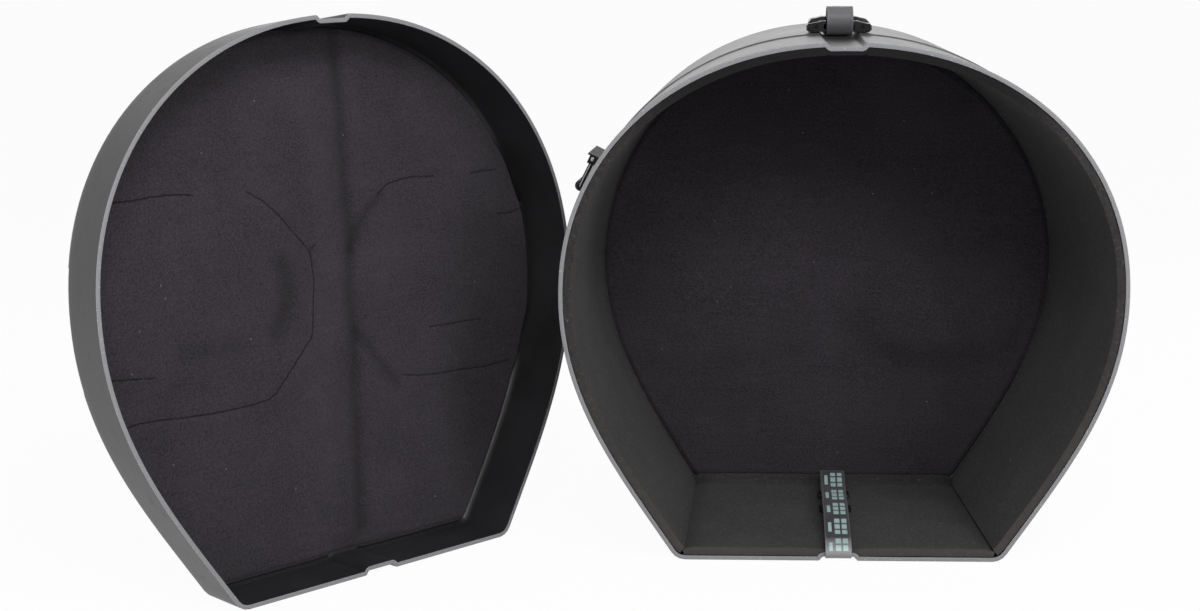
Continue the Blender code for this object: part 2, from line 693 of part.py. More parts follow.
# Three-bar slider lying on the folded strap
def make_slider(parent):
    rest = WALL + SEAT + FOAM + 0.0022 + WEB_THICK / 2 + SEAT
    place = Matrix.Translation((TAIL_DRIFT * 0.8, 0.262, rest))
    slider = add_object("strap_slider",
                        box("strap_slider", (-0.0245, 0.0, 0.0), (0.0245, 0.026, 0.0035),
                            bevel=0.0010, segments=1), BUCKLE_BLACK, parent, place)
    for index, y in enumerate((0.0045, 0.0155)):
        slot = box("slot", (-0.0200, y, -0.010), (0.0200, y + 0.0060, 0.020))
        boolean(slider, add_object(f"slider_slot_{index}", slot, None, parent, place))
    return slider


# Handle frame on the wall: local X out of the wall, Y along the case, Z up the wall
def handle_frame(side):
    power = 2.0 / CROWN_FULLNESS
    drawn, lowered, _ = body_skin(HANDLE_Y)

    def wall_point(angle):
        high = WIDE_HEIGHT + CROWN_RISE * math.sin(angle) ** power
        return Vector(((HALF_WIDTH - drawn - pinch(HANDLE_Y, high)) * math.cos(angle) ** power,
                       HANDLE_Y, high * (CAP_HEIGHT - lowered) / CAP_HEIGHT))

    here = wall_point(HANDLE_UP)
    up = wall_point(HANDLE_UP + 0.01) - wall_point(HANDLE_UP - 0.01)
    closing = BODY_SIDE_DRAFT / BODY_DEPTH + pinch(1.0, here.z)
    along = Vector((-closing * here.x / HALF_WIDTH, 1.0, 0.0)).normalized()
    out = along.cross(up).normalized()
    up = out.cross(along)
    frame = Matrix((out, along, up)).transposed().to_4x4()
    frame.translation = here
    if side < 0:
        frame = Matrix.Scale(-1.0, 4, (1, 0, 0)) @ frame @ Matrix.Scale(-1.0, 4, (0, 1, 0))
    return frame


def make_handle(side, word, parent, shell, foam):
    base = empty(f"handle_{word}_frame", handle_frame(side), parent)
    half_long, half_tall = PLATE_LONG / 2, PLATE_TALL / 2
    pad = box("pad", (-PAD_SINK, -half_long - 0.002, -half_tall - 0.002),
              (0.030, half_long + 0.002, half_tall + 0.002))
    boolean(shell, add_object(f"handle_{word}_pad", pad, None, base))
    relief = box("relief", (RIVET_TAIL - 0.0008, -BACKING_HALF - 0.003, BACKING_ROWS[0] - 0.003),
                 (0.0, BACKING_HALF + 0.003, BACKING_ROWS[1] + 0.003))
    boolean(foam, add_object(f"handle_{word}_relief", relief, None, base))
    floor = -PAD_SINK + SEAT
    face = floor + PLATE_THICK
    plate = add_object(f"handle_plate_{word}", plate_mesh(floor), STEEL_BLACK, base)
    pivot_out = floor + PIVOT_OUT
    extras = {"stop": ((face - 0.001, -EAR_AT - 0.0005, PIVOT_UP + BAIL_RADIUS + 0.0005),
                       (pivot_out + 0.010, EAR_AT + 0.0005, PIVOT_UP + BAIL_RADIUS + 0.0030))}
    for end in (-1, 1):
        extras[f"ear_{end}"] = ((face - 0.001, end * EAR_AT - EAR_THICK / 2, PIVOT_UP - 0.008),
                                (pivot_out + 0.006, end * EAR_AT + EAR_THICK / 2,
                                 PIVOT_UP + 0.0050))
    for name, (low, high) in extras.items():
        tool = add_object(f"handle_{word}_{name}", box(name, low, high), None, base)
        boolean(plate, tool, "UNION")
    bore = cylinder("bore", (pivot_out, -0.080, PIVOT_UP), (pivot_out, 0.080, PIVOT_UP),
                    BAIL_RADIUS + SEAT, 16)
    boolean(plate, add_object(f"handle_{word}_bore", bore, None, base))
    hang = empty(f"handle_{word}_pivot", Matrix.Translation((pivot_out, 0.0, PIVOT_UP)), base)
    make_bail(word, hang)
    make_grip(word, hang)
    make_rivets(word, base, face, plate, shell)


# Pressed plate with rounded corners
def plate_mesh(floor):
    bm = bmesh.new()
    bmesh.ops.create_cube(bm, size=1.0)
    bmesh.ops.scale(bm, verts=bm.verts, vec=(PLATE_THICK, PLATE_LONG, PLATE_TALL))
    bmesh.ops.translate(bm, verts=bm.verts, vec=(floor + PLATE_THICK / 2, 0.0, 0.0))
    across = [edge for edge in bm.edges
              if abs(edge.verts[0].co.x - edge.verts[1].co.x) > PLATE_THICK / 2]
    bmesh.ops.bevel(bm, geom=across, offset=0.008, segments=3, affect="EDGES", profile=0.5,
                    material=-1)
    return mesh_from_bmesh("handle_plate", bm)


# Round steel bail: stubs in the ears, two arms and a cross bar
def make_bail(word, hang):
    points = [(EAR_AT + EAR_THICK / 2 + 0.0025, 0.0)]
    for step in range(4):
        angle = math.pi / 2 * step / 3
        points.append((BAIL_HALF + BAIL_BEND * (1 - math.sin(angle)),
                       -BAIL_BEND * (1 - math.cos(angle))))
    for step in range(4):
        angle = math.pi / 2 * step / 3
        points.append((BAIL_HALF - BAIL_BEND * (1 - math.cos(angle)),
                       -BAIL_DROP + BAIL_BEND * (1 - math.sin(angle))))
    points += [(-y, z) for y, z in reversed(points)]
    curve = bpy.data.curves.new("bail", "CURVE")
    curve.dimensions = "3D"
    curve.bevel_depth = BAIL_RADIUS
    curve.bevel_resolution = 2
    curve.use_fill_caps = True
    line = curve.splines.new("POLY")
    line.points.add(len(points) - 1)
    for point, (y, z) in zip(line.points, points):
        point.co = (0.0, y, z, 1.0)
    return add_object(f"handle_bail_{word}", curve, STEEL_BRIGHT, hang)


# Moulded grip round the bail's cross bar
def make_grip(word, hang):
    bore = BAIL_RADIUS + SEAT
    profile = [(bore, -GRIP_HALF), (GRIP_RADIUS - 0.0015, -GRIP_HALF),
               (GRIP_RADIUS, -GRIP_HALF + 0.003), (GRIP_RADIUS - 0.0007, -GRIP_HALF / 2),
               (GRIP_RADIUS, 0.0), (GRIP_RADIUS - 0.0007, GRIP_HALF / 2),
               (GRIP_RADIUS, GRIP_HALF - 0.003), (GRIP_RADIUS - 0.0015, GRIP_HALF),
               (bore, GRIP_HALF)]
    bm = bmesh.new()
    spin_loop(bm, [(radius, y, -BAIL_DROP) for radius, y in profile],
              (0.0, 0.0, -BAIL_DROP), (0.0, 1.0, 0.0), 16, closed=True)
    return add_object(f"handle_grip_{word}", mesh_from_bmesh("grip", bm), RUBBER_BLACK, hang)


# Spin a profile once round an axis; a closed profile makes a ring
def spin_loop(bm, points, centre, axis, steps, closed=False):
    verts = [bm.verts.new(point) for point in points]
    edges = [bm.edges.new(pair) for pair in zip(verts, verts[1:])]
    if closed:
        edges.append(bm.edges.new((verts[-1], verts[0])))
    bmesh.ops.spin(bm, geom=verts + edges, cent=centre, axis=axis, angle=math.tau,
                   steps=steps, use_merge=True)
    bmesh.ops.remove_doubles(bm, verts=bm.verts, dist=1e-6)


# Four domed rivets through plate and wall, clenched on a backing plate inside
def make_rivets(word, base, face, plate, shell):
    head = [(0.0, 0.0022), (0.0025, 0.0018), (0.0042, 0.0008), (0.0042, SEAT), (RIVET_SHANK, SEAT)]
    tail = [(RIVET_SHANK, RIVET_TAIL + 0.0010), (0.0036, RIVET_TAIL + 0.0010),
            (0.0030, RIVET_TAIL), (0.0, RIVET_TAIL)]
    bm = bmesh.new()
    spin_loop(bm, [(out, r, 0.0) for r, out in [(r, face + out) for r, out in head] + tail],
              (0.0, 0.0, 0.0), (1.0, 0.0, 0.0), 10)
    mesh = mesh_from_bmesh("rivet", bm)
    low = RIVET_TAIL + 0.0010 + SEAT
    backing = add_object(f"handle_backing_{word}",
                         box("backing", (low, -BACKING_HALF, BACKING_ROWS[0]),
                             (low + 0.0012, BACKING_HALF, BACKING_ROWS[1])), STEEL_BRIGHT, base)
    spots = [(y, z) for y in (-RIVET_ALONG, RIVET_ALONG) for z in RIVET_ROWS]
    for index, (y, z) in enumerate(spots):
        add_object(f"handle_rivet_{word}_{index + 1}", mesh, STEEL_BRIGHT, base,
                   Matrix.Translation((0.0, y, z)))
        hole = cylinder("rivet_hole", (-0.030, y, z), (0.030, y, z), RIVET_SHANK + SEAT, 10)
        tool = add_object(f"rivet_hole_{word}_{index}", hole, None, base)
        for holed in (plate, shell, backing):
            boolean(holed, tool)


clear_scene()
PARTS = new_collection("marching_bass_drum_case")
CUTTERS = new_collection("cutters")

body_frame = empty("body_frame", Matrix.Translation(BODY_AT))
lid_frame = empty("lid_frame", Matrix.Translation(LID_AT) @ Matrix.Rotation(LID_TURN, 4, "Z")
                  @ Matrix.Rotation(-LID_LEAN, 4, "X"))
body_shell, body_stations, body_panels = make_body(body_frame)
side_foam = make_side_foam(body_frame, body_stations)
make_floor_foam(body_frame, body_stations)
make_face_felt("back_felt", body_frame, body_inset, BODY_DEPTH, 1.0, 0.026, 0.010,
               body_stations, body_panels)
lid_stations, lid_panels = make_lid(lid_frame)
make_face_felt("lid_felt", lid_frame, lid_inset, LID_DEPTH, LID_SCALE, 0.0107, 0.010,
               lid_stations, lid_panels)
buckle_deck = CAP_HEIGHT - body_skin(BUCKLE_Y + BUCKLE_LONG)[1] - SEAT
make_strap(body_frame, body_stations, buckle_deck)
make_strap_loop(body_frame, buckle_deck)
make_receiver(body_frame, buckle_deck)
make_release_slide(body_frame, buckle_deck)
make_tongue(body_frame)
make_slider(body_frame)
make_handle(1, "right", body_frame, body_shell, side_foam)
make_handle(-1, "left", body_frame, body_shell, side_foam)
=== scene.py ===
# Marching bass drum case, opened: the deep foam-lined body stands with its mouth to the
# front and the shallow pull-off lid stands turned beside it.
import math

import bmesh
import bpy
import numpy as np
from mathutils import Matrix, Vector, noise


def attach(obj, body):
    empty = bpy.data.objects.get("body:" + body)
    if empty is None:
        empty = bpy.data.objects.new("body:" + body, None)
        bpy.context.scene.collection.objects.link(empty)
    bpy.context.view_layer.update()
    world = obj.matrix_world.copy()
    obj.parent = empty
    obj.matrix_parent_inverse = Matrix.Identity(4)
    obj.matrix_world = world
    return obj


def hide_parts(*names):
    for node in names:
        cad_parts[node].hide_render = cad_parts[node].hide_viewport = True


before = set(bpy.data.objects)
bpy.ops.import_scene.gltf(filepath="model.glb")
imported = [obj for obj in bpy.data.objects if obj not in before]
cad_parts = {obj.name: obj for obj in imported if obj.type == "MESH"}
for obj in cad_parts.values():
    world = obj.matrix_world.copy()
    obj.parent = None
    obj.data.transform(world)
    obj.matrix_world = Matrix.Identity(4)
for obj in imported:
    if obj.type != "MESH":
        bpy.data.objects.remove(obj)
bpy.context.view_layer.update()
print("frame loaded")

scene = bpy.context.scene
scene.view_settings.view_transform = "Standard"

# where the two halves stand, in metres and degrees
standing = {
    "body": (0.3100, -0.0216, 0.0),
    "lid": (-0.3440, -0.0908, 0.0),
    "lidTurn": 48.5,
    "lidLean": 5.7,
}
bodyFrame = Matrix.Translation(standing["body"])
lidFrame = (Matrix.Translation(standing["lid"])
            @ Matrix.Rotation(math.radians(standing["lidTurn"]), 4, "Z")
            @ Matrix.Rotation(-math.radians(standing["lidLean"]), 4, "X"))


# camera, stage and light
view = {"at": (0.0852, -3.1383, 0.9573), "pitch": 0.1849, "yaw": 0.0381, "roll": 0.0029,
        "lens": 67.0}
cameraData = bpy.data.cameras.new("photoCamera")
cameraData.lens = view["lens"]
cameraData.sensor_width = 36.0
photoCamera = bpy.data.objects.new("photoCamera", cameraData)
photoCamera.matrix_world = (Matrix.Translation(view["at"])
                            @ Matrix.Rotation(view["yaw"], 4, "Z")
                            @ Matrix.Rotation(math.pi / 2 - view["pitch"], 4, "X")
                            @ Matrix.Rotation(-view["roll"], 4, "Z"))
scene.collection.objects.link(photoCamera)
scene.camera = photoCamera


def softLamp(name, at, aim, size, watts, tint=(1, 1, 1)):
    lampData = bpy.data.lights.new(name, "AREA")
    lampData.shape = "RECTANGLE"
    lampData.size, lampData.size_y = size
    lampData.energy = watts
    lampData.color = tint
    lamp = bpy.data.objects.new(name, lampData)
    direction = Vector(aim) - Vector(at)
    lamp.matrix_world = (Matrix.Translation(at)
                         @ direction.to_track_quat("-Z", "Y").to_matrix().to_4x4())
    lamp.visible_camera = False
    scene.collection.objects.link(lamp)


softLamp("highSoftbox", (0.4, -3.4, 3.2), (0.2, 0.1, 0.3), (1.6, 1.2), 62)
softLamp("rightSoftbox", (2.4, -2.6, 1.8), (0.3, 0.1, 0.3), (1.2, 1.2), 30)
softLamp("upperRightSoftbox", (2.0, -1.5, 3.2), (0.3, 0.1, 0.3), (1.2, 1.2), 24)
softLamp("leftSoftbox", (-1.1, -2.5, 1.35), (-0.35, -0.1, 0.35), (1.2, 1.0), 5)
softLamp("lowLeftSoftbox", (-1.15, -0.75, 0.03), (-0.6, -0.25, 0.25), (0.8, 0.6), 5,
         (0.97, 0.95, 1.0))
softLamp("rearSoftbox", (0.3, 2.5, 1.7), (0.3, 0.2, 0.6), (3.0, 1.0), 13.5)


# node helpers: startTree sets the tree that the others add to
making = {}


def startTree(owner):
    owner.use_nodes = True
    making["tree"] = owner.node_tree


# a socket is linked, a number is set, and a colour is set as solid
def feed(socket, value):
    if isinstance(value, bpy.types.NodeSocket):
        making["tree"].links.new(value, socket)
    elif value is not None:
        socket.default_value = (*value, 1.0) if socket.type == "RGBA" else value


def setInputs(node, values):
    for key, value in values.items():
        if hasattr(node, key):
            setattr(node, key, value)
        else:
            feed(node.inputs[key.replace("_", " ")], value)


# wires go to the first inputs in their order, values to what their names say
def addNode(kind, *wires, **values):
    node = making["tree"].nodes.new(kind)
    setInputs(node, values)
    for socket, wire in zip(node.inputs, wires):
        feed(socket, wire)
    return node


def combine(operation, first, second=0.0):
    return addNode("ShaderNodeMath", first, second, operation=operation).outputs[0]


def times(first, second):
    return combine("MULTIPLY", first, second)


def plus(first, second):
    return combine("ADD", first, second)


# one shader for what the camera, gloss and glass see, the other for what is only light
def splitSeen(owner, outKind, seen, lit, seenShare):
    startTree(owner)
    making["tree"].nodes.clear()
    rays = addNode("ShaderNodeLightPath").outputs
    share = combine("MAXIMUM", rays["Is Camera Ray"], rays["Is Glossy Ray"])
    share = combine("MAXIMUM", share, rays["Is Transmission Ray"])
    sides = [addNode(kind, **values).outputs[0] for kind, values in (lit, seen)]
    mix = addNode("ShaderNodeMixShader", times(share, seenShare), *sides)
    addNode(outKind, mix.outputs[0])


# the background is white to the camera, in gloss and through glass, and plain grey as light
world = bpy.data.worlds.new("paleStudio")
scene.world = world
splitSeen(world, "ShaderNodeOutputWorld",
          ("ShaderNodeBackground", {"Color": (1, 1, 1), "Strength": 1.0}),
          ("ShaderNodeBackground", {"Color": (0.97, 0.97, 1.0), "Strength": 0.22}), 1.0)

# a little of the floor's own shade is kept, so that shadows show on it
floorPaint = bpy.data.materials.new("paleFloor")
splitSeen(floorPaint, "ShaderNodeOutputMaterial",
          ("ShaderNodeEmission", {"Color": (1, 1, 1), "Strength": 1.04}),
          ("ShaderNodeBsdfDiffuse", {"Color": (0.62, 0.62, 0.62)}), 0.92)

floorMesh = bmesh.new()
bmesh.ops.create_grid(floorMesh, x_segments=2, y_segments=2, size=80)
bmesh.ops.translate(floorMesh, verts=floorMesh.verts, vec=(0, 0, -0.0005))
floorData = bpy.data.meshes.new("studioFloor")
floorMesh.to_mesh(floorData)
floorMesh.free()
floorData.materials.append(floorPaint)
studioFloor = bpy.data.objects.new("studioFloor", floorData)
scene.collection.objects.link(studioFloor)
print("camera, lamps and floor ready")


# materials
def startSurface(name, **sockets):
    making["material"] = bpy.data.materials.new(name)
    startTree(making["material"])
    making["shader"] = making["tree"].nodes["Principled BSDF"]
    setInputs(making["shader"], sockets)
    making["at"] = addNode("ShaderNodeTexCoord").outputs["Object"]


# bumps are heights with a strength and a distance each
def endSurface(bumps, **sockets):
    normal = None
    for height, strength, distance in bumps:
        normal = addNode("ShaderNodeBump", Strength=strength, Distance=distance,
                         Height=height, Normal=normal).outputs[0]
    setInputs(making["shader"], {"Normal": normal, **sockets})
    return making["material"]


def noiseAt(scale, detail=3.0, roughness=0.55, stretch=None):
    coords = making["at"]
    if stretch:
        coords = addNode("ShaderNodeMapping", coords, Scale=stretch).outputs[0]
    return addNode("ShaderNodeTexNoise", coords, Scale=scale, Detail=detail,
                   Roughness=roughness).outputs["Fac"]


def cellsAt(feature, scale):
    cells = addNode("ShaderNodeTexVoronoi", making["at"], feature=feature, Scale=scale)
    return cells.outputs["Distance"]


def stored(word):
    return addNode("ShaderNodeAttribute", attribute_name=word).outputs["Fac"]


def ramp(value, low, high, start=0.0, end=1.0):
    return addNode("ShaderNodeMapRange", value, low, high, start, end).outputs["Result"]


def blendColour(share, first, second):
    node = addNode("ShaderNodeMix", share, data_type="RGBA")
    feed(node.inputs[6], first)
    feed(node.inputs[7], second)
    return node.outputs[2]


# moulded shell: satin black with a fine leather grain, hazy scuffs and a pale trimmed lip, whose
# pale tone is partly painted highlight and partly the trim's own flecks
def mouldedShell():
    tones = {"deep": (0.012, 0.012, 0.013), "worn": (0.022, 0.022, 0.024),
             "lip": (0.28, 0.282, 0.294), "lipFleck": (0.58, 0.59, 0.61)}
    startSurface("satinMoulding", IOR=1.5)
    cloud = noiseAt(7.0, 4.0)
    scuff = noiseAt(60.0, 5.0, 0.7, (1.0, 1.0, 0.22))
    grain = cellsAt("SMOOTH_F1", 620.0)
    fine = noiseAt(900.0, 2.0)
    wearAndLipHighlight = ramp(stored("wearAndLipHighlight"), 0.55, 0.95)
    fleck = ramp(noiseAt(240.0, 4.0, 0.7), 0.60, 0.70)
    base = blendColour(ramp(cloud, 0.3, 0.7), tones["deep"], tones["worn"])
    # the lip's pale tone: painted highlight, with the trim's own flecks
    lip = blendColour(fleck, tones["lip"], tones["lipFleck"])
    rough = plus(ramp(cloud, 0.25, 0.75, 0.36, 0.45), ramp(scuff, 0.55, 0.75, 0.0, 0.10))
    return endSurface([(grain, 0.13, 0.0006), (fine, 0.07, 0.0003),
                       (times(wearAndLipHighlight, fleck), 0.6, 0.0008)],
                      Base_Color=blendColour(wearAndLipHighlight, base, lip),
                      Roughness=plus(rough, times(wearAndLipHighlight, 0.15)))


# lining felt: charcoal with a trace of purple, short nap, faint cross threads and lint, with
# painted shade and painted light over its swells and painted shade in its creases
def liningFelt():
    tones = {"deep": (0.013, 0.0115, 0.0135), "nap": (0.073, 0.0635, 0.0760),
             "paintedCreaseShade": (0.004, 0.0035, 0.004), "lint": (0.20, 0.20, 0.20),
             "hollow": (0.010, 0.0088, 0.0105), "paintedLight": (0.085, 0.076, 0.092)}
    startSurface("nappedFelt", Roughness=0.96, Specular_IOR_Level=0.15, Sheen_Weight=0.10,
                 Sheen_Roughness=0.55, Sheen_Tint=(0.75, 0.70, 0.80))
    nap = noiseAt(370.0, 4.0, 0.85)
    patch = noiseAt(11.0, 4.0)
    threads = noiseAt(230.0, 2.0, 0.6, (0.10, 0.10, 2.6))
    mix = plus(times(ramp(nap, 0.36, 0.64), 0.70), times(ramp(patch, 0.30, 0.70), 0.16))
    mix = plus(mix, times(ramp(threads, 0.3, 0.7), 0.14))
    felt = blendColour(mix, tones["deep"], tones["nap"])
    # painted shade where the stored shade is above zero, painted light where it is below
    shade = stored("shade")
    felt = blendColour(ramp(shade, 0.0, 1.0), felt, tones["hollow"])
    felt = blendColour(ramp(shade, 0.0, -1.0), felt, tones["paintedLight"])
    lint = ramp(cellsAt("F1", 26.0), 0.040, 0.020)
    felt = blendColour(times(lint, 0.7), felt, tones["lint"])
    # pressed creases: painted shade as a ragged thin dark line where the stored distance to them
    # passes zero
    ragged = plus(stored("creaseSide"), ramp(noiseAt(150.0, 3.0), 0.2, 0.8, -0.0011, 0.0011))
    line = times(ramp(combine("ABSOLUTE", ragged), 0.0019, 0.0006), stored("creaseShadeHere"))
    return endSurface([(nap, 0.45, 0.0010), (threads, 0.20, 0.0005), (patch, 0.3, 0.004)],
                      Base_Color=blendColour(line, felt, tones["paintedCreaseShade"]))


# cut foam: dark grey with open cells and pale specks, with painted light on its cut front edge and
# painted shade in its seams and towards the crown
def cutFoam():
    tones = {"deep": (0.013, 0.0120, 0.0116), "face": (0.058, 0.0545, 0.0530),
             "speck": (0.165, 0.152, 0.142), "paintedLightEdge": (0.088, 0.078, 0.076),
             "seam": (0.006, 0.0055, 0.0053)}
    startSurface("speckledFoam", Roughness=0.93, Specular_IOR_Level=0.2, Sheen_Weight=0.06,
                 Sheen_Roughness=0.6)
    cells = noiseAt(210.0, 5.0, 0.85)
    patch = noiseAt(9.0, 3.0)
    specks = ramp(noiseAt(180.0, 4.0, 0.8), 0.58, 0.68)
    mix = plus(times(ramp(cells, 0.35, 0.65), 0.72), times(ramp(patch, 0.3, 0.7), 0.28))
    face = blendColour(mix, tones["deep"], tones["face"])
    face = blendColour(times(specks, 0.6), face, tones["speck"])
    # the stored shade paints light where above zero and shade where below
    shade = stored("shade")
    face = blendColour(ramp(shade, 0.0, 1.0), face, tones["paintedLightEdge"])
    return endSurface([(cells, 0.5, 0.0010), (patch, 0.4, 0.003)],
                      Base_Color=blendColour(ramp(shade, 0.0, -1.0), face, tones["seam"]))


# share 1 between low and high, with soft ends
def band(value, low, high, soft):
    return times(ramp(value, low, low + soft), ramp(value, high, high - soft))


# webbing woven along its own UV, with raised selvedges, plain teal blocks on one run, and on that
# run a painted highlight where it bends over the lip
def wovenStrap(name, blocks, paintedLightGain=1.0):
    # paintedLightGain makes a lighter copy of the same webbing, as painted light
    tones = {"warp": (0.028 * paintedLightGain, 0.028 * paintedLightGain, 0.030 * paintedLightGain),
             "weft": (0.105 * paintedLightGain, 0.106 * paintedLightGain, 0.112 * paintedLightGain),
             "edge": (0.17, 0.17, 0.18), "teal": (0.60, 0.84, 0.83), "paintedBendHighlight": (0.42, 0.40, 0.41)}
    startSurface(name, Roughness=0.38, Specular_IOR_Level=0.65, Sheen_Weight=0.15,
                 Sheen_Roughness=0.4)
    making["at"] = addNode("ShaderNodeUVMap", uv_map="along").outputs[0]
    across, along, _ = addNode("ShaderNodeSeparateXYZ", making["at"]).outputs
    warp = addNode("ShaderNodeTexWave", making["at"], bands_direction="X", Scale=250.0,
                   Distortion=1.0, Detail=2.0)
    weft = addNode("ShaderNodeTexWave", making["at"], bands_direction="Y", Scale=320.0,
                   Distortion=0.6)
    weave = times(warp.outputs["Fac"], weft.outputs["Fac"])
    fromMiddle = combine("ABSOLUTE", combine("SUBTRACT", across, webbing["width"] / 2))
    selvedge = ramp(fromMiddle, 0.0152, 0.0185)
    face = blendColour(weave, tones["warp"], tones["weft"])
    face = blendColour(times(selvedge, 0.55), face, tones["edge"])
    if blocks:
        # a painted highlight: pale where it bends over the lip
        paintedBendHighlight = times(ramp(along, blocks["from"] + 0.040, blocks["from"] + 0.018),
                     ramp(along, blocks["from"] - 0.034, blocks["from"] - 0.016))
        face = blendColour(times(paintedBendHighlight, 0.7), face, tones["paintedBendHighlight"])
        group = combine("FRACT", combine("DIVIDE", along, blocks["group"]))
        inside = band(along, blocks["from"], blocks["to"], 0.0006)
        pair = plus(band(across, 0.0150, 0.0232, 0.0004), band(across, 0.0256, 0.0335, 0.0004))
        gaps = plus(band(group, 0.25, 0.32, 0.01), band(group, 0.52, 0.59, 0.01))
        pair = times(pair, combine("SUBTRACT", 1.0, gaps))
        pair = times(pair, band(group, 0.04, 0.80, 0.01))
        single = times(band(across, 0.0055, 0.0110, 0.0004), band(group, 0.16, 0.62, 0.01))
        inkWear = ramp(noiseAt(420.0, 3.0, 0.7), 0.30, 0.40)
        ink = times(times(inside, inkWear), plus(pair, single))
        face = blendColour(times(ink, 0.9), face, tones["teal"])
    return endSurface([(weave, 0.55, 0.0005), (selvedge, 0.5, 0.0006)], Base_Color=face)


# hard finishes: two tones in soft clouds, and a fine noise that the light catches
hardFinishes = {
    "glossBuckle": {"cloud": (90.0, 3.0), "fine": (300.0, 4.0, 0.7, (4.0, 0.6, 1.0)),
                    "tones": ((0.0035, 0.0035, 0.004), (0.008, 0.008, 0.009)),
                    "toneSpan": (0.3, 0.7), "roughBy": "fine",
                    "roughSpan": (0.45, 0.75, 0.09, 0.18), "bump": (0.10, 0.0002),
                    "sockets": {"Specular_IOR_Level": 0.30}},
    "blackPlate": {"cloud": (120.0, 4.0), "fine": (1500.0, 2.0),
                   "tones": ((0.006, 0.006, 0.0065), (0.016, 0.016, 0.017)),
                   "toneSpan": (0.35, 0.75), "roughBy": "cloud",
                   "roughSpan": (0.3, 0.7, 0.48, 0.62), "bump": (0.25, 0.0002),
                   "sockets": {"Specular_IOR_Level": 0.12}},
    "platedSteel": {"cloud": (160.0, 4.0), "fine": (500.0, 3.0, 0.6, (1.0, 6.0, 1.0)),
                    "tones": ((0.30, 0.305, 0.32), (0.16, 0.16, 0.17)),
                    "toneSpan": (0.35, 0.8), "roughBy": "cloud",
                    "roughSpan": (0.3, 0.7, 0.22, 0.38), "bump": (0.12, 0.0002),
                    "sockets": {"Metallic": 1.0}},
    "gripRubber": {"cloud": (70.0, 5.0, 0.7), "fine": (1300.0, 2.0),
                   "tones": ((0.012, 0.012, 0.012), (0.035, 0.034, 0.033)),
                   "toneSpan": (0.45, 0.8), "roughBy": "cloud",
                   "roughSpan": (0.3, 0.7, 0.55, 0.72), "bump": (0.4, 0.0003),
                   "sockets": {"Specular_IOR_Level": 0.4}},
}


def hardFinish(name):
    h = hardFinishes[name]
    startSurface(name, **h["sockets"])
    noises = {word: noiseAt(*h[word]) for word in ("cloud", "fine")}
    return endSurface([(noises["fine"], *h["bump"])],
                      Base_Color=blendColour(ramp(noises["cloud"], *h["toneSpan"]), *h["tones"]),
                      Roughness=ramp(noises[h["roughBy"]], *h["roughSpan"]))


shellFinish = mouldedShell()
feltFinish = liningFelt()
foamFinish = cutFoam()
buckleFinish = hardFinish("glossBuckle")
plateFinish = hardFinish("blackPlate")
steelFinish = hardFinish("platedSteel")
rubberFinish = hardFinish("gripRubber")
print("materials ready")


# shared shape of the case: round crown, leaning flanks, flat foot; share 0 of its outline is
# the crown's middle and share 1 the foot's, with the ends of its stretches between them
caseOutline = {"halfWidth": 0.403, "wideHeight": 0.386, "crownRise": 0.360, "fullness": 2.12,
               "footHalf": 0.234, "flankLean": 0.588, "flankPull": 0.393, "footCorner": 0.014,
               "crownEnd": 0.5, "flankEnd": 0.82, "flankRun": 0.965, "footStart": 0.86,
               "crownPinch": 0.022, "bodyDepth": 0.405, "lidDepth": 0.095, "lidScale": 1.06}
capHeight = caseOutline["wideHeight"] + caseOutline["crownRise"]
quarterTurn = [math.pi / 2 * step / 8 for step in range(9)]


# further narrowing of the body's crown towards its back
def pinchAt(y, z, scale=1.0):
    if scale != 1.0 or y <= 0:
        return 0.0
    high = (z - caseOutline["wideHeight"]) / caseOutline["crownRise"]
    return caseOutline["crownPinch"] * y / caseOutline["bodyDepth"] * max(0.0, high)


def outlinePoint(share):
    c = caseOutline
    if share <= c["crownEnd"]:
        angle = max(0.0, math.pi / 2 * (1 - share / c["crownEnd"]))
        power = 2 / c["fullness"]
        return Vector((c["halfWidth"] * max(0.0, math.cos(angle)) ** power,
                       c["wideHeight"] + c["crownRise"] * math.sin(angle) ** power))
    start, end = Vector((c["halfWidth"], c["wideHeight"])), Vector((c["footHalf"], 0.0))
    pull = c["flankPull"] * c["wideHeight"]
    lean = Vector((math.sin(c["flankLean"]), math.cos(c["flankLean"])))
    above = end + lean * c["footCorner"]
    beside = end - Vector((c["footCorner"], 0.0))
    if share <= c["flankEnd"]:
        t = (share - c["crownEnd"]) / (c["flankEnd"] - c["crownEnd"]) * c["flankRun"]
        first, second = start - Vector((0.0, pull)), end + lean * pull
        return (start * (1 - t) ** 3 + first * 3 * t * (1 - t) ** 2
                + second * 3 * t * t * (1 - t) + end * t ** 3)
    if share <= c["footStart"]:
        t = (share - c["flankEnd"]) / (c["footStart"] - c["flankEnd"])
        return above * (1 - t) ** 2 + end * 2 * t * (1 - t) + beside * t * t
    return beside.lerp(Vector((0.0, 0.0)), (share - c["footStart"]) / (1 - c["footStart"]))


def startOutline(bm, segments):
    keep = bm.verts.layers.float_vector.new("outline")
    made = bmesh.ops.create_circle(bm, segments=segments, radius=1.0)
    for vert in made["verts"]:
        point = outlinePoint(min(1.0, abs(math.atan2(vert.co.x, vert.co.y)) / math.pi))
        vert[keep] = (math.copysign(point.x, vert.co.x), 0.0, point.y)
    return keep


# a point of the outline at depth y, drawn in at the sides, crown and foot
def drawnIn(x, z, y, inset, scale):
    side, crown, foot = inset
    half = caseOutline["halfWidth"]
    tall = (capHeight * scale - crown - foot) / capHeight
    return x * (half * scale - side - pinchAt(y, z, scale)) / half, foot + z * tall


def setRing(verts, keep, y, inset, scale):
    for vert in verts:
        x, z = drawnIn(vert[keep].x, vert[keep].z, y, inset, scale)
        vert.co = (x, y, z)


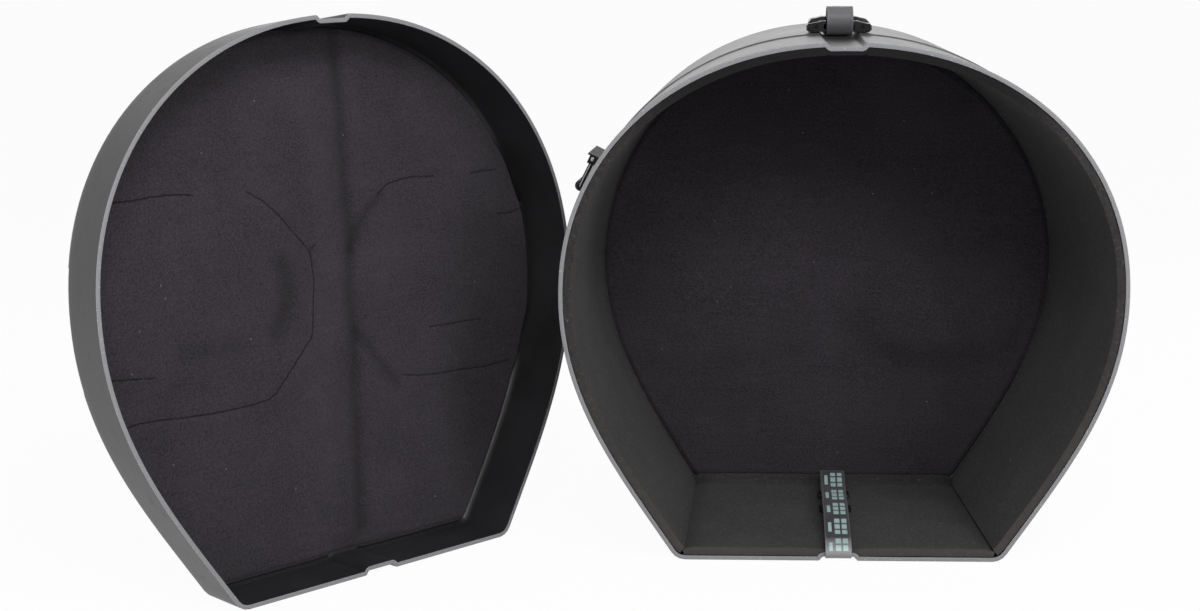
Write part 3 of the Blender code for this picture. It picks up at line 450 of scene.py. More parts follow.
# the ring of vertices and the edges that the extrusion makes
def extrudeOn(bm, edges):
    made = bmesh.ops.extrude_edge_only(bm, edges=edges)["geom"]
    verts = [item for item in made if isinstance(item, bmesh.types.BMVert)]
    ends = set(verts)
    return verts, [item for item in made if isinstance(item, bmesh.types.BMEdge)
                   and item.verts[0] in ends and item.verts[1] in ends]


def smoothShare(value):
    t = min(1.0, max(0.0, value))
    return t * t * (3 - 2 * t)


# turn the whole mesh over where a face of it looks away from the direction
def faceTowards(bm, face, direction):
    if face.normal.dot(Vector(direction)) < 0:
        bmesh.ops.reverse_faces(bm, faces=bm.faces)


# a sunk panel as the lines through its sides; distances are for the +X panel and its mirror
def panelLines(points):
    lines = []
    for here, there in zip(points, points[1:] + points[:1]):
        along = (Vector(there) - Vector(here)).normalized()
        normal = Vector((along.y, -along.x))
        lines.append((normal, normal.dot(Vector(here))))
    return lines


def panelPoints(low, high):
    return [(0.470, low), (0.470, high), (0.215, high), (0.160, high - 0.0015),
            (0.120, high - 0.010), (0.090, high - 0.024), (0.066, high - 0.044),
            (0.046, high - 0.070), (0.034, high - 0.102), (0.034, low + 0.082),
            (0.046, low + 0.052), (0.066, low + 0.028), (0.094, low + 0.008), (0.130, low)]


def pocketPoints(low, high):
    return [(0.470, low), (0.470, high), (0.227, high), (0.211, high - 0.007),
            (0.205, high - 0.024), (0.205, low + 0.024), (0.211, low + 0.007), (0.227, low)]


def panelDistance(lines, x, z):
    return max(normal.x * abs(x) + normal.y * z - reach for normal, reach in lines)


def newPiece(name, bm, finish, body, place, node):
    mesh = bpy.data.meshes.new(name)
    bm.to_mesh(mesh)
    bm.free()
    return finishPiece(name, mesh, finish, body, place, node)


def finishPiece(name, mesh, finish, body, place, node):
    mesh.transform(place)
    mesh.materials.append(finish)
    for polygon in mesh.polygons:
        polygon.material_index = 0
    mesh.shade_smooth()
    piece = bpy.data.objects.new(name, mesh)
    scene.collection.objects.link(piece)
    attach(piece, body)
    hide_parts(node)
    return piece


def addBevel(piece, width, segments=2, angle=60):
    bevel = piece.modifiers.new("edgeBreak", "BEVEL")
    bevel.width = width
    bevel.segments = segments
    bevel.limit_method = "ANGLE"
    bevel.angle_limit = math.radians(angle)
    bevel.miter_outer = "MITER_ARC"


def addWall(piece, thickness):
    wall = piece.modifiers.new("wall", "SOLIDIFY")
    wall.thickness = thickness
    wall.offset = -1.0
    wall.use_quality_normals = True
    return wall


# shells: their wall, the girth channel, and the drafts and shoulder of the body's outside
shellMaking = {
    "wall": 0.006, "segments": 168, "lipBreak": 0.0013,
    "channelHalf": 0.0215, "channelDepth": 0.006, "channelRun": 0.0072,
    "panelTaper": 0.6, "grid": 0.022, "gridReach": 0.45, "gridRows": 36, "cutReach": 0.44,
    "sideDraft": 0.034, "crownClimb": 0.004, "shoulderAt": 0.150, "shoulderRun": 0.004,
    "shoulderRise": 0.002, "lidSideDraft": 0.012, "lidCrownDraft": 0.005,
}


# 1 on the floor of the girth channel, 0 beside it
def channelShare(x):
    return 1 - smoothShare((abs(x) - shellMaking["channelHalf"]) / shellMaking["channelRun"])


def bodyInset(y, extra=0.0):
    share = y / caseOutline["bodyDepth"]
    return (shellMaking["sideDraft"] * share + extra, -shellMaking["crownClimb"] * share + extra,
            extra)


# the outside stands proud behind its shoulder
def bodySkin(y):
    s = shellMaking
    side, crown, foot = bodyInset(y)
    proud = s["shoulderRise"] * smoothShare((y - s["shoulderAt"]) / s["shoulderRun"])
    return (side - proud, crown - proud, foot)


def lidSkin(y):
    share = y / caseOutline["lidDepth"]
    lean = math.tan(math.radians(standing["lidLean"]))
    return (shellMaking["lidSideDraft"] * share, shellMaking["lidCrownDraft"] * share,
            caseOutline["lidDepth"] * lean * share)


# rings at the stops, then round the edge to the end face
def shellRings(skin, c):
    rings = [(y, skin(y)) for y in c["stops"]]
    for angle in quarterTurn:
        y = c["depth"] - c["edge"] + c["edge"] * math.sin(angle)
        drawn = c["edge"] * (1 - math.cos(angle))
        rings.append((y, tuple(value + drawn for value in skin(y))))
    return rings


def cutPlane(bm, faces, point, normal):
    edges = dict.fromkeys(edge for face in faces for edge in face.edges)
    verts = dict.fromkeys(vert for face in faces for vert in face.verts)
    bmesh.ops.bisect_plane(bm, geom=[*faces, *edges, *verts], dist=2e-5,
                           plane_co=point, plane_no=normal)


def buildShell(c, skin, handles=()):
    s = shellMaking
    bm = bmesh.new()
    keep = startOutline(bm, s["segments"])
    rings = shellRings(skin, c)
    edges = bm.edges[:]
    setRing(bm.verts, keep, *rings[0], c["scale"])
    for ring in rings[1:]:
        verts, edges = extrudeOn(bm, edges)
        setRing(verts, keep, *ring, c["scale"])
    bmesh.ops.holes_fill(bm, edges=edges, sides=0)
    # the end face is marked by its material index while it is cut
    for face in bm.faces:
        face.material_index = int(face.calc_center_median().y > c["depth"] - c["edge"])
    # the channel's lines run right round the girth
    for side in (-1, 1):
        for share in (-0.25, 0.0, 0.25, 0.5, 0.75, 1.0, 1.25):
            x = side * (s["channelHalf"] + s["channelRun"] * share)
            cutPlane(bm, bm.faces[:], (x, 0, 0), (1, 0, 0))
    # lines across the end face, along every side of its panels
    cuts = set()
    panels = [(panelLines(points), sunk, sunk * s["panelTaper"]) for points, sunk in c["panels"]]
    for sides, _, run in panels:
        for normal, reach in sides:
            for share in (-0.15, 0.12, 0.38, 0.62, 0.88, 1.15):
                far = reach + run * share
                for mirror in ((1, -1) if abs(normal.x) > 1e-6 else (1,)):
                    if far < s["cutReach"] or abs(normal.y) > 1e-6:
                        cuts.add((round(normal.x * mirror, 5), round(normal.y, 5), round(far, 5)))
    count = int(s["gridReach"] / s["grid"])
    cuts |= {(1.0, 0.0, round(i * s["grid"], 5)) for i in range(-count, count + 1) if abs(i) > 1}
    cuts |= {(0.0, 1.0, round(i * s["grid"], 5)) for i in range(1, s["gridRows"])}
    for nx, nz, far in sorted(cuts):
        faces = [face for face in bm.faces if face.material_index == 1]
        cutPlane(bm, faces, (nx * far, 0, nz * far), (nx, 0, nz))
    for handle in handles:
        flattenPad(bm, handle)
    bmesh.ops.remove_doubles(bm, verts=bm.verts, dist=0.0004)
    bmesh.ops.dissolve_degenerate(bm, edges=bm.edges, dist=0.0002)
    bmesh.ops.recalc_face_normals(bm, faces=bm.faces)
    faceTowards(bm, max(bm.faces, key=lambda face: face.calc_center_median().y), (0, 1, 0))
    bm.normal_update()
    # press the channel and the panels in, and mark where the moulding is worn and the lip, which
    # is given a pale painted highlight
    wearAndLipHighlight = bm.verts.layers.float.new("wearAndLipHighlight")
    for vert in bm.verts:
        x, y, z = vert.co
        normal = vert.normal.copy()
        if y < 0.0001:
            normal = Vector((normal.x, 0.0, normal.z)).normalized()
        place = vert.co - normal * (s["channelDepth"] * channelShare(x))
        limit = c["depth"]
        for sides, sunk, run in panels:
            away = panelDistance(sides, x, z) / run
            limit = min(limit, c["depth"] - sunk * (1 - smoothShare(away)))
            if abs(away - 1.0) < 0.3 and normal.y > 0.9:
                vert[wearAndLipHighlight] = 0.40
        place.y = min(place.y, limit)
        vert.co = place
        if y < 0.0005:
            vert[wearAndLipHighlight] = 1.0
    return bm


# the wall is pressed flat under a handle's plate
pressedPad = {"long": 0.058, "tall": 0.034, "deep": 0.0014, "near": 0.16, "under": 0.03,
              "slack": 0.0005}


def flattenPad(bm, handle):
    p = pressedPad
    out, along, up = (handle.to_3x3() @ Vector(axis) for axis in ((1, 0, 0), (0, 1, 0), (0, 0, 1)))
    spot = handle.translation
    inverse = handle.inverted()
    for axis, reach in ((along, p["long"]), (up, p["tall"])):
        for side in (-1, 1):
            for extra in (0.0, 0.003):
                near = [face for face in bm.faces
                        if (face.calc_center_median() - spot).length < p["near"]]
                cutPlane(bm, near, spot + axis * side * (reach + extra), axis)
    for vert in bm.verts:
        here = inverse @ vert.co
        if (abs(here.y) < p["long"] + p["slack"] and abs(here.z) < p["tall"] + p["slack"]
                and -p["under"] < here.x):
            here.x = min(here.x, -p["deep"])
            vert.co = handle @ here


handlePlace = {"depth": 0.190, "angle": 25.0}


# handle on the wall: local X out of the wall, Y along the case, Z up the wall
def handleFrame(side):
    power = 2 / caseOutline["fullness"]
    handleY, half = handlePlace["depth"], caseOutline["halfWidth"]
    drawn, lowered, _ = bodySkin(handleY)

    def wallPoint(angle):
        high = caseOutline["wideHeight"] + caseOutline["crownRise"] * math.sin(angle) ** power
        return Vector(((half - drawn - pinchAt(handleY, high)) * math.cos(angle) ** power,
                       handleY, high * (capHeight - lowered) / capHeight))

    middle = math.radians(handlePlace["angle"])
    here = wallPoint(middle)
    up = wallPoint(middle + 0.01) - wallPoint(middle - 0.01)
    closing = bodyInset(1.0)[0] + pinchAt(1.0, here.z)
    along = Vector((-closing * here.x / half, 1.0, 0.0)).normalized()
    out = along.cross(up).normalized()
    made = Matrix((out, along, out.cross(along))).transposed().to_4x4()
    made.translation = here
    if side < 0:
        made = Matrix.Scale(-1.0, 4, (1, 0, 0)) @ made @ Matrix.Scale(-1.0, 4, (0, 1, 0))
    return made


handleFrames = {"right": handleFrame(1), "left": handleFrame(-1)}

# panels go with how far they are sunk
bodyMaking = {
    "depth": caseOutline["bodyDepth"], "edge": 0.035, "scale": 1.0,
    "panels": [(panelPoints(0.228, 0.530), 0.008)],
    "stops": (0.0, 0.0015, 0.010, 0.040, 0.080, 0.115, 0.148, 0.150, 0.152, 0.154, 0.158, 0.200,
              0.240, 0.280, 0.320, 0.350),
}
lidMaking = {
    "depth": caseOutline["lidDepth"], "edge": 0.020, "scale": caseOutline["lidScale"],
    "panels": [(panelPoints(0.258, 0.556), 0.008), (pocketPoints(0.322, 0.482), 0.016)],
    "stops": (0.0, 0.0015, 0.010, 0.030, 0.050, 0.065),
}
shellBody = buildShell(bodyMaking, bodySkin, handleFrames.values())
bodyShell = newPiece("bodyShell", shellBody, shellFinish, "case", bodyFrame, "body_shell")
shellLid = buildShell(lidMaking, lidSkin)
lidShell = newPiece("lidShell", shellLid, shellFinish, "lid", lidFrame, "lid_shell")
for shell in (bodyShell, lidShell):
    addWall(shell, shellMaking["wall"])
    addBevel(shell, shellMaking["lipBreak"])
print("shells ready", len(bodyShell.data.polygons), len(lidShell.data.polygons))


# felt over foam on the two end faces
def distanceToLine(x, z, line):
    best, side = np.full(x.shape, 9.0), np.ones(x.shape)
    for (x1, z1), (x2, z2) in zip(line, line[1:]):
        length = (x2 - x1) ** 2 + (z2 - z1) ** 2
        t = np.clip(((x - x1) * (x2 - x1) + (z - z1) * (z2 - z1)) / length, 0, 1)
        away = np.hypot(x - x1 - t * (x2 - x1), z - z1 - t * (z2 - z1))
        turn = np.where((x2 - x1) * (z - z1) > (z2 - z1) * (x - x1), 1.0, -1.0)
        side = np.where(away < best, turn, side)
        best = np.minimum(best, away)
    return best, side


def smoothArray(value):
    t = np.clip(value, 0, 1)
    return t * t * (3 - 2 * t)


def outlineSpan(shares, y, inset, scale):
    return np.array([drawnIn(*outlinePoint(share), y, inset, scale) for share in shares]).T


# what both linings share: reach of a plateau past its panel, how wide a crease is pressed and
# how wide its painted shade spreads, how far the foot's lift runs up, and the waves as size, seed
# and height
feltMaking = {"beyond": 0.016, "creasePress": 0.0045, "creaseDark": 0.006, "liftRun": 0.012,
              "waves": ((6.0, 3.1, 0.0016), (21.0, 7.7, 0.0005))}


def padLining(name, body, node, place, c):
    f = feltMaking
    bm = bmesh.new()
    bmesh.ops.create_grid(bm, x_segments=c["columns"], y_segments=c["rows"], size=1.0)
    mesh = bpy.data.meshes.new(name)
    bm.to_mesh(mesh)
    bm.free()
    co = np.zeros(len(mesh.vertices) * 3, np.float32)
    mesh.vertices.foreach_get("co", co)
    co = co.reshape(-1, 3).astype(float)
    # rows follow the outline's own spacing, columns share the width between them
    last = caseOutline["footStart"]
    share = np.clip(last * (1 - co[:, 1]) / 2, 0.004, last)
    table = np.linspace(0, last, 400)
    halfWide, height = outlineSpan(table, c["front"], c["inset"], c["scale"])
    rowHalf, z = np.interp(share, table, halfWide), np.interp(share, table, height)
    x = co[:, 0] * rowHalf
    toSide = (1 - np.abs(co[:, 0])) * rowHalf
    crownX, crownZ = outlineSpan(np.linspace(0, caseOutline["crownEnd"], 200), c["front"],
                                 c["inset"], c["scale"])
    toCrown = np.where(z > c["middle"], np.interp(np.abs(x), crownX, crownZ) - z, 9.0)
    toFoot = z - height.min()
    toEdge = 1 / np.sqrt(1 / np.maximum(toSide, 1e-4) ** 2 + 1 / np.maximum(toCrown, 1e-4) ** 2)
    toEdge = np.minimum(toEdge, np.maximum(toFoot, 1e-4))
    rise = np.zeros(len(x))
    for points, tall in c["plateaus"]:
        away = np.max([normal.x * np.abs(x) + normal.y * z - reach
                       for normal, reach in panelLines(points)], axis=0)
        rise += tall * (1 - smoothArray((away - f["beyond"] + c["soft"] / 2) / c["soft"]))
    # painted shade along the swells and hollows, painted light where their value is below zero,
    # stored as shade
    shade = np.zeros(len(x))
    for line, half, tall, tone in c["swells"]:
        near = np.exp(-(distanceToLine(x, z, line)[0] / half) ** 2)
        rise += tall * near
        shade += tone * near
    # each crease's painted shade: how dark it is near the crease, stored for the felt
    nearest, creaseSide, creaseShadeHere = np.full(len(x), 9.0), np.full(len(x), 9.0), np.zeros(len(x))
    for line, depth, dark in c["creases"]:
        away, side = distanceToLine(x, z, line)
        rise -= depth * np.exp(-(away / f["creasePress"]) ** 2)
        creaseSide = np.where(away < nearest, away * side, creaseSide)
        darkness = dark * np.exp(-(away / f["creaseDark"]) ** 2)
        creaseShadeHere = np.where(away < nearest, darkness, creaseShadeHere)
        nearest = np.minimum(nearest, away)
    rise += np.array([sum(noise.noise(Vector((a * size, seed, b * size))) * high
                          for size, seed, high in f["waves"]) for a, b in zip(x, z)])
    edgeDrop = c["edgeDrop"] * (1 - smoothArray(toEdge / c["edgeRun"]))
    foot = c["footLift"]
    lift = foot["tall"] * np.exp(-((x - foot["at"]) / foot["half"]) ** 2)
    z += lift * np.exp(-toFoot / f["liftRun"])
    co[:, 0], co[:, 1], co[:, 2] = x, c["front"] - rise + edgeDrop, z
    mesh.vertices.foreach_set("co", co.astype(np.float32).ravel())
    for word, values in (("creaseSide", creaseSide), ("creaseShadeHere", creaseShadeHere), ("shade", shade)):
        mark = mesh.attributes.new(word, "FLOAT", "POINT")
        mark.data.foreach_set("value", values.astype(np.float32))
    bm = bmesh.new()
    bm.from_mesh(mesh)
    bmesh.ops.remove_doubles(bm, verts=bm.verts, dist=1e-5)
    faceTowards(bm, min(bm.faces, key=lambda face: abs(face.calc_center_median().x)
                        + abs(face.calc_center_median().z - 0.4)), (0, -1, 0))
    bm.to_mesh(mesh)
    bm.free()
    piece = finishPiece(name, mesh, feltFinish, body, place, node)
    addWall(piece, c["thick"])


lidLining = {
    "columns": 220, "rows": 220, "scale": caseOutline["lidScale"], "middle": 0.41,
    "front": 0.0767, "thick": 0.0095,
    "inset": tuple(value + 0.0107 for value in lidSkin(caseOutline["lidDepth"])),
    "plateaus": [(panelPoints(0.258, 0.556), 0.0050), (pocketPoints(0.322, 0.482), 0.0050)],
    "soft": 0.045, "edgeDrop": 0.004, "edgeRun": 0.008,
    "footLift": {"at": -0.005, "half": 0.034, "tall": 0.0035},
    # soft swells and hollows: points in x and z, half-width, height, and painted shade (painted
    # light where below zero)
    "swells": [
        ([(0.057, 0.77), (0.062, 0.671), (0.060, 0.587), (0.056, 0.502), (0.046, 0.387),
          (0.047, 0.338), (0.043, 0.210), (0.031, 0.050)], 0.0120, -0.0030, 0.45),
        ([(-0.011, 0.675), (0.008, 0.600), (0.009, 0.531), (-0.001, 0.389), (-0.014, 0.247),
          (-0.030, 0.104)], 0.024, 0.0030, -0.10),
        ([(0.078, 0.700), (0.078, 0.560)], 0.016, 0.0010, -0.05),
        ([(0.117, 0.527), (0.101, 0.515), (0.071, 0.486), (0.056, 0.454)], 0.009, -0.0015, 0.40),
        ([(0.054, 0.335), (0.069, 0.316), (0.085, 0.293), (0.102, 0.271), (0.119, 0.253)],
         0.010, -0.0015, 0.40),
        ([(0.105, 0.405), (0.135, 0.450)], 0.040, 0.0025, -0.12),
        ([(-0.072, 0.450), (-0.063, 0.411), (-0.072, 0.384), (-0.092, 0.356)], 0.018, -0.0025,
         0.45),
        ([(-0.254, 0.348), (-0.196, 0.346), (-0.150, 0.345)], 0.016, -0.0020, 0.28),
        ([(-0.010, 0.045), (0.015, 0.048)], 0.014, 0.0030, 0.10),
    ],
    # each crease: its points in x and z, depth, and the darkness of its painted shade
    "creases": [
        ([(-0.345, 0.563), (-0.309, 0.562), (-0.278, 0.564), (-0.245, 0.564), (-0.215, 0.561)],
         0.0014, 0.85),
        ([(-0.118, 0.555), (-0.093, 0.540), (-0.073, 0.523), (-0.049, 0.496), (-0.030, 0.474),
          (-0.019, 0.463), (-0.017, 0.445), (-0.016, 0.419), (-0.021, 0.391), (-0.025, 0.360),
          (-0.029, 0.339), (-0.045, 0.325), (-0.066, 0.303), (-0.086, 0.284), (-0.100, 0.270),
          (-0.115, 0.263), (-0.138, 0.261), (-0.167, 0.260), (-0.206, 0.260), (-0.248, 0.262),
          (-0.289, 0.265), (-0.328, 0.267), (-0.350, 0.264)], 0.0016, 0.80),
        ([(-0.019, 0.463), (-0.007, 0.469)], 0.0008, 0.70),
        ([(-0.372, 0.331), (-0.337, 0.328), (-0.306, 0.324)], 0.0014, 0.85),
        ([(0.225, 0.545), (0.182, 0.548), (0.158, 0.546), (0.133, 0.542), (0.115, 0.527)],
         0.0014, 0.75),
        ([(0.303, 0.542), (0.324, 0.544), (0.353, 0.543)], 0.0012, 0.75),
        ([(0.346, 0.477), (0.369, 0.474), (0.402, 0.482)], 0.0012, 0.80),
        ([(0.192, 0.323), (0.227, 0.322), (0.257, 0.322), (0.290, 0.321)], 0.0012, 0.70),
        ([(0.136, 0.259), (0.169, 0.253), (0.208, 0.250), (0.249, 0.249), (0.291, 0.246),
          (0.322, 0.247), (0.352, 0.249)], 0.0014, 0.75),
    ],
}
padLining("lidFelt", "lid", "lid_felt", lidFrame, lidLining)

bodyLining = {
    "columns": 220, "rows": 220, "scale": 1.0, "middle": 0.386, "front": 0.3867, "thick": 0.0095,
    "inset": (0.0495, 0.0195, 0.0215),
    "plateaus": [(panelPoints(0.228, 0.530), 0.0065)],
    "soft": 0.050, "edgeDrop": 0.004, "edgeRun": 0.009,
    "footLift": {"at": 0.0, "half": 0.030, "tall": 0.0},
    # swells with their painted shade and painted light, as on the lid
    "swells": [
        ([(0.0, 0.68), (0.0, 0.05)], 0.020, 0.0018, -0.03),
        ([(0.052, 0.285), (0.080, 0.245), (0.120, 0.224), (0.184, 0.217), (0.255, 0.229),
          (0.294, 0.249)], 0.022, -0.0018, 0.25),
    ],
    "creases": [],
}
padLining("backFelt", "case", "back_felt", bodyFrame, bodyLining)
print("linings ready")


# foam round the walls and on the floor of the body
foamStrip = {"thick": 0.0114, "skin": 0.0063, "front": 0.0008, "back": 0.383, "corner": 0.847,
             "rounding": 0.0022, "overChannel": 0.48, "segments": 200, "tuck": 0.004,
             "tuckFrom": 0.370, "tuckRun": 0.013}
# the floor's pad narrows to its back, curls up there and is pressed in under the strap; its
# outer columns reach under the strip at the sides
floorPad = {"thick": 0.0112, "front": 0.0012, "back": 0.3805, "top": 0.0181,
            "halfWidth": 0.2203, "narrowing": 0.0182, "narrowTo": 0.37, "sideReach": 0.0046,
            "sideDrop": 0.0032, "press": 0.0008, "lipPress": 0.0036, "curl": 0.0100,
            "curlFrom": 0.357, "curlRun": 0.022}


def floorHalf(y):
    return floorPad["halfWidth"] - floorPad["narrowing"] * min(1.0, y / floorPad["narrowTo"])


# over the girth channel the foam is thinner, as the wall comes in there
def pressOverChannel(bm, drop):
    s = shellMaking
    for side in (-1, 1):
        for share in (0.0, 0.5, 1.0):
            x = side * (s["channelHalf"] + s["channelRun"] * share)
            cutPlane(bm, bm.faces[:], (x, 0, 0), (1, 0, 0))
    bm.normal_update()
    weights = bm.verts.layers.deform.verify()
    for vert in bm.verts:
        sink = channelShare(vert.co.x)
        vert[weights][0] = 1.0 - (1.0 - foamStrip["overChannel"]) * sink
        if drop:
            vert.co -= vert.normal * (s["channelDepth"] * sink)


def thickenFoam(piece, thickness):
    piece.vertex_groups.new(name="fullThickness")
    # painted light: paler on the cut front edge, most towards its bottom; painted shade: darker on
    # that edge towards the crown, and in the seam between floor and sides
    shade = piece.data.attributes.new("shade", "FLOAT", "POINT")
    toBody = bodyFrame.inverted()
    for vert, mark in zip(piece.data.vertices, shade.data):
        x, y, z = toBody @ vert.co
        seam = math.hypot(abs(x) - floorHalf(y), z - floorPad["top"] + 0.0001)
        if y < foamStrip["front"] + 0.0016:
            mark.value = (0.65 * max(0.0, 1.0 - z / 0.40)
                          - 0.90 * smoothShare((z - 0.58) / 0.12))
        else:
            mark.value = -0.60 * math.exp(-(seam / 0.016) ** 2)
    addWall(piece, thickness).vertex_group = "fullThickness"
    addBevel(piece, foamStrip["rounding"], 3, 50)


def makeSideFoam():
    f = foamStrip
    bm = bmesh.new()
    keep = startOutline(bm, f["segments"])
    foot = [vert for vert in bm.verts
            if abs(math.atan2(vert.co.x, vert.co.y)) / math.pi > f["corner"]]
    bmesh.ops.delete(bm, geom=foot, context="VERTS")
    edges = bm.edges[:]
    stops = [f["front"], 0.004, 0.012, 0.03, 0.08, 0.14, 0.20, 0.26, 0.32, 0.370, 0.377, f["back"]]

    def skin(y):
        tuck = f["tuck"] * max(0.0, (y - f["tuckFrom"]) / f["tuckRun"]) ** 2
        return bodyInset(y, f["skin"] + tuck)

    setRing(bm.verts, keep, stops[0], skin(stops[0]), 1.0)
    for y in stops[1:]:
        verts, edges = extrudeOn(bm, edges)
        setRing(verts, keep, y, skin(y), 1.0)
    bmesh.ops.recalc_face_normals(bm, faces=bm.faces)
    faceTowards(bm, max(bm.faces, key=lambda face: face.calc_center_median().z), (0, 0, 1))
    pressOverChannel(bm, True)
    bm.normal_update()
    for vert in bm.verts:
        lift = noise.noise(Vector((vert.co.x * 9, vert.co.y * 7, vert.co.z * 9))) * 0.0007
        vert.co -= vert.normal * (0.0004 + max(lift, -0.0004))
    piece = newPiece("sideFoam", bm, foamFinish, "case", bodyFrame, "side_foam")
    thickenFoam(piece, f["thick"])


def makeFloorFoam():
    f = floorPad
    bm = bmesh.new()
    bmesh.ops.create_grid(bm, x_segments=44, y_segments=60, size=0.5)
    for vert in bm.verts:
        y = f["front"] + (vert.co.y + 0.5) * (f["back"] - f["front"])
        outer = abs(vert.co.x) * 2 > 0.98
        x = vert.co.x * 2 * floorHalf(y) + math.copysign(f["sideReach"] * outer, vert.co.x)
        press = f["press"] + f["lipPress"] * math.exp(-(y / 0.018) ** 2)
        press *= math.exp(-(x / 0.030) ** 2)
        curl = f["curl"] * smoothShare((y - f["curlFrom"]) / f["curlRun"])
        lift = noise.noise(Vector((x * 9, y * 9, 1.7))) * 0.0005
        vert.co = (x, y, f["top"] - press + curl - f["sideDrop"] * outer + lift)
    bmesh.ops.recalc_face_normals(bm, faces=bm.faces)
    faceTowards(bm, bm.faces[:][0], (0, 0, 1))
    pressOverChannel(bm, False)
    weights = bm.verts.layers.deform.verify()
    for vert in bm.verts:
        if abs(vert.co.x) > floorHalf(vert.co.y) + 0.001:
            vert[weights][0] = 1.0 - f["sideDrop"] / f["thick"]
    piece = newPiece("floorFoam", bm, foamFinish, "case", bodyFrame, "floor_foam")
    thickenFoam(piece, f["thick"])


makeSideFoam()
makeFloorFoam()
print("foam ready")


# webbing and bails: a closed section drawn along a path in y and z
def smoothPath(points, steps):
    points = [Vector(point) for point in points]
    path = []
    for i in range(len(points) - 1):
        p0, p1, p2 = points[max(i - 1, 0)], points[i], points[i + 1]
        p3 = points[min(i + 2, len(points) - 1)]
        for step in range(steps):
            t = step / steps
            path.append(0.5 * (2 * p1 + (p2 - p0) * t + (2 * p0 - 5 * p1 + 4 * p2 - p3) * t * t
                               + (3 * p1 - p0 - 3 * p2 + p3) * t ** 3))
    return path + [points[-1]]


# section turns a spot of the unit circle into an offset across the path and out of it
def sweepSection(segments, section, path, shift):
    bm = bmesh.new()
    spot = bm.verts.layers.float_vector.new("section")
    unroll = bm.verts.layers.float_vector.new("unroll")
    verts = bmesh.ops.create_circle(bm, segments=segments, radius=1.0)["verts"]
    for vert in verts:
        vert[spot] = (*section(vert.co), 0.0)
    edges = bm.edges[:]
    run = 0.0
    for i, point in enumerate(path):
        if i:
            verts, edges = extrudeOn(bm, edges)
            run += (point - path[i - 1]).length
        else:
            bmesh.ops.holes_fill(bm, edges=edges, sides=0)
        along = (path[min(i + 1, len(path) - 1)] - path[max(i - 1, 0)]).normalized()
        normal = Vector((-along.y, along.x))
        for vert in verts:
            across, tall, _ = vert[spot]
            place = point + normal * tall
            vert.co = (shift[i] + across, place.x, place.y)
            vert[unroll] = (across, run, 0.0)
    bmesh.ops.holes_fill(bm, edges=edges, sides=0)
    bmesh.ops.recalc_face_normals(bm, faces=bm.faces)
    return bm, unroll


webbing = {"width": 0.038, "thick": 0.002, "printReach": 0.38, "printEvery": 0.081}


# thin in the middle, with a rib along each selvedge
def webbingSection(spot):
    half, thin = webbing["width"] / 2, webbing["thick"] / 2
    turn = math.atan2(spot.y, spot.x)
    wide = math.copysign(abs(math.cos(turn)) ** 0.42, math.cos(turn)) * half
    rib = 1.0 - 0.22 * (1 - smoothShare((abs(wide) / half - 0.80) / 0.12))
    return wide, math.copysign(min(1.0, abs(math.sin(turn)) * 2.2), math.sin(turn)) * thin * rib


def makeWebbing(name, node, path, shift, finish):
    bm, unroll = sweepSection(36, webbingSection, path, shift)
    uv = bm.loops.layers.uv.new("along")
    for face in bm.faces:
        for loop in face.loops:
            across, run, _ = loop.vert[unroll]
            loop[uv].uv = (across + webbing["width"] / 2, run)
    newPiece(name, bm, finish, "case", bodyFrame, node)


# stations round the girth in the plane x = 0: point and outward normal in y and z
def girthStations():
    def top(y):
        return capHeight - bodySkin(y)[1]

    bend, radius = 0.370, 0.035
    stations = [(Vector((y, top(y))), Vector((0.0, 1.0))) for y in (0.26, 0.30, 0.34)]
    for angle in quarterTurn:
        normal = Vector((math.sin(angle), math.cos(angle)))
        stations.append((Vector((bend, top(bend) - radius)) + normal * radius, normal))
    for angle in quarterTurn:
        normal = Vector((math.cos(angle), -math.sin(angle)))
        stations.append((Vector((bend, radius)) + normal * radius, normal))
    stations += [(Vector((y, 0.0)), Vector((0.0, -1.0))) for y in (0.28, 0.15, 0.05, 0.025)]
    return stations


buckle = {"y": 0.166, "long": 0.058, "rearSlot": 0.04975, "frontSlot": 0.016,
          "frontTall": 0.0165, "gap": 0.0003}
deck = capHeight - bodySkin(buckle["y"] + buckle["long"])[1] - buckle["gap"]
# how deep the webbing's middle line lies in the girth channel
inChannel = shellMaking["channelDepth"] - buckle["gap"] - webbing["thick"] / 2


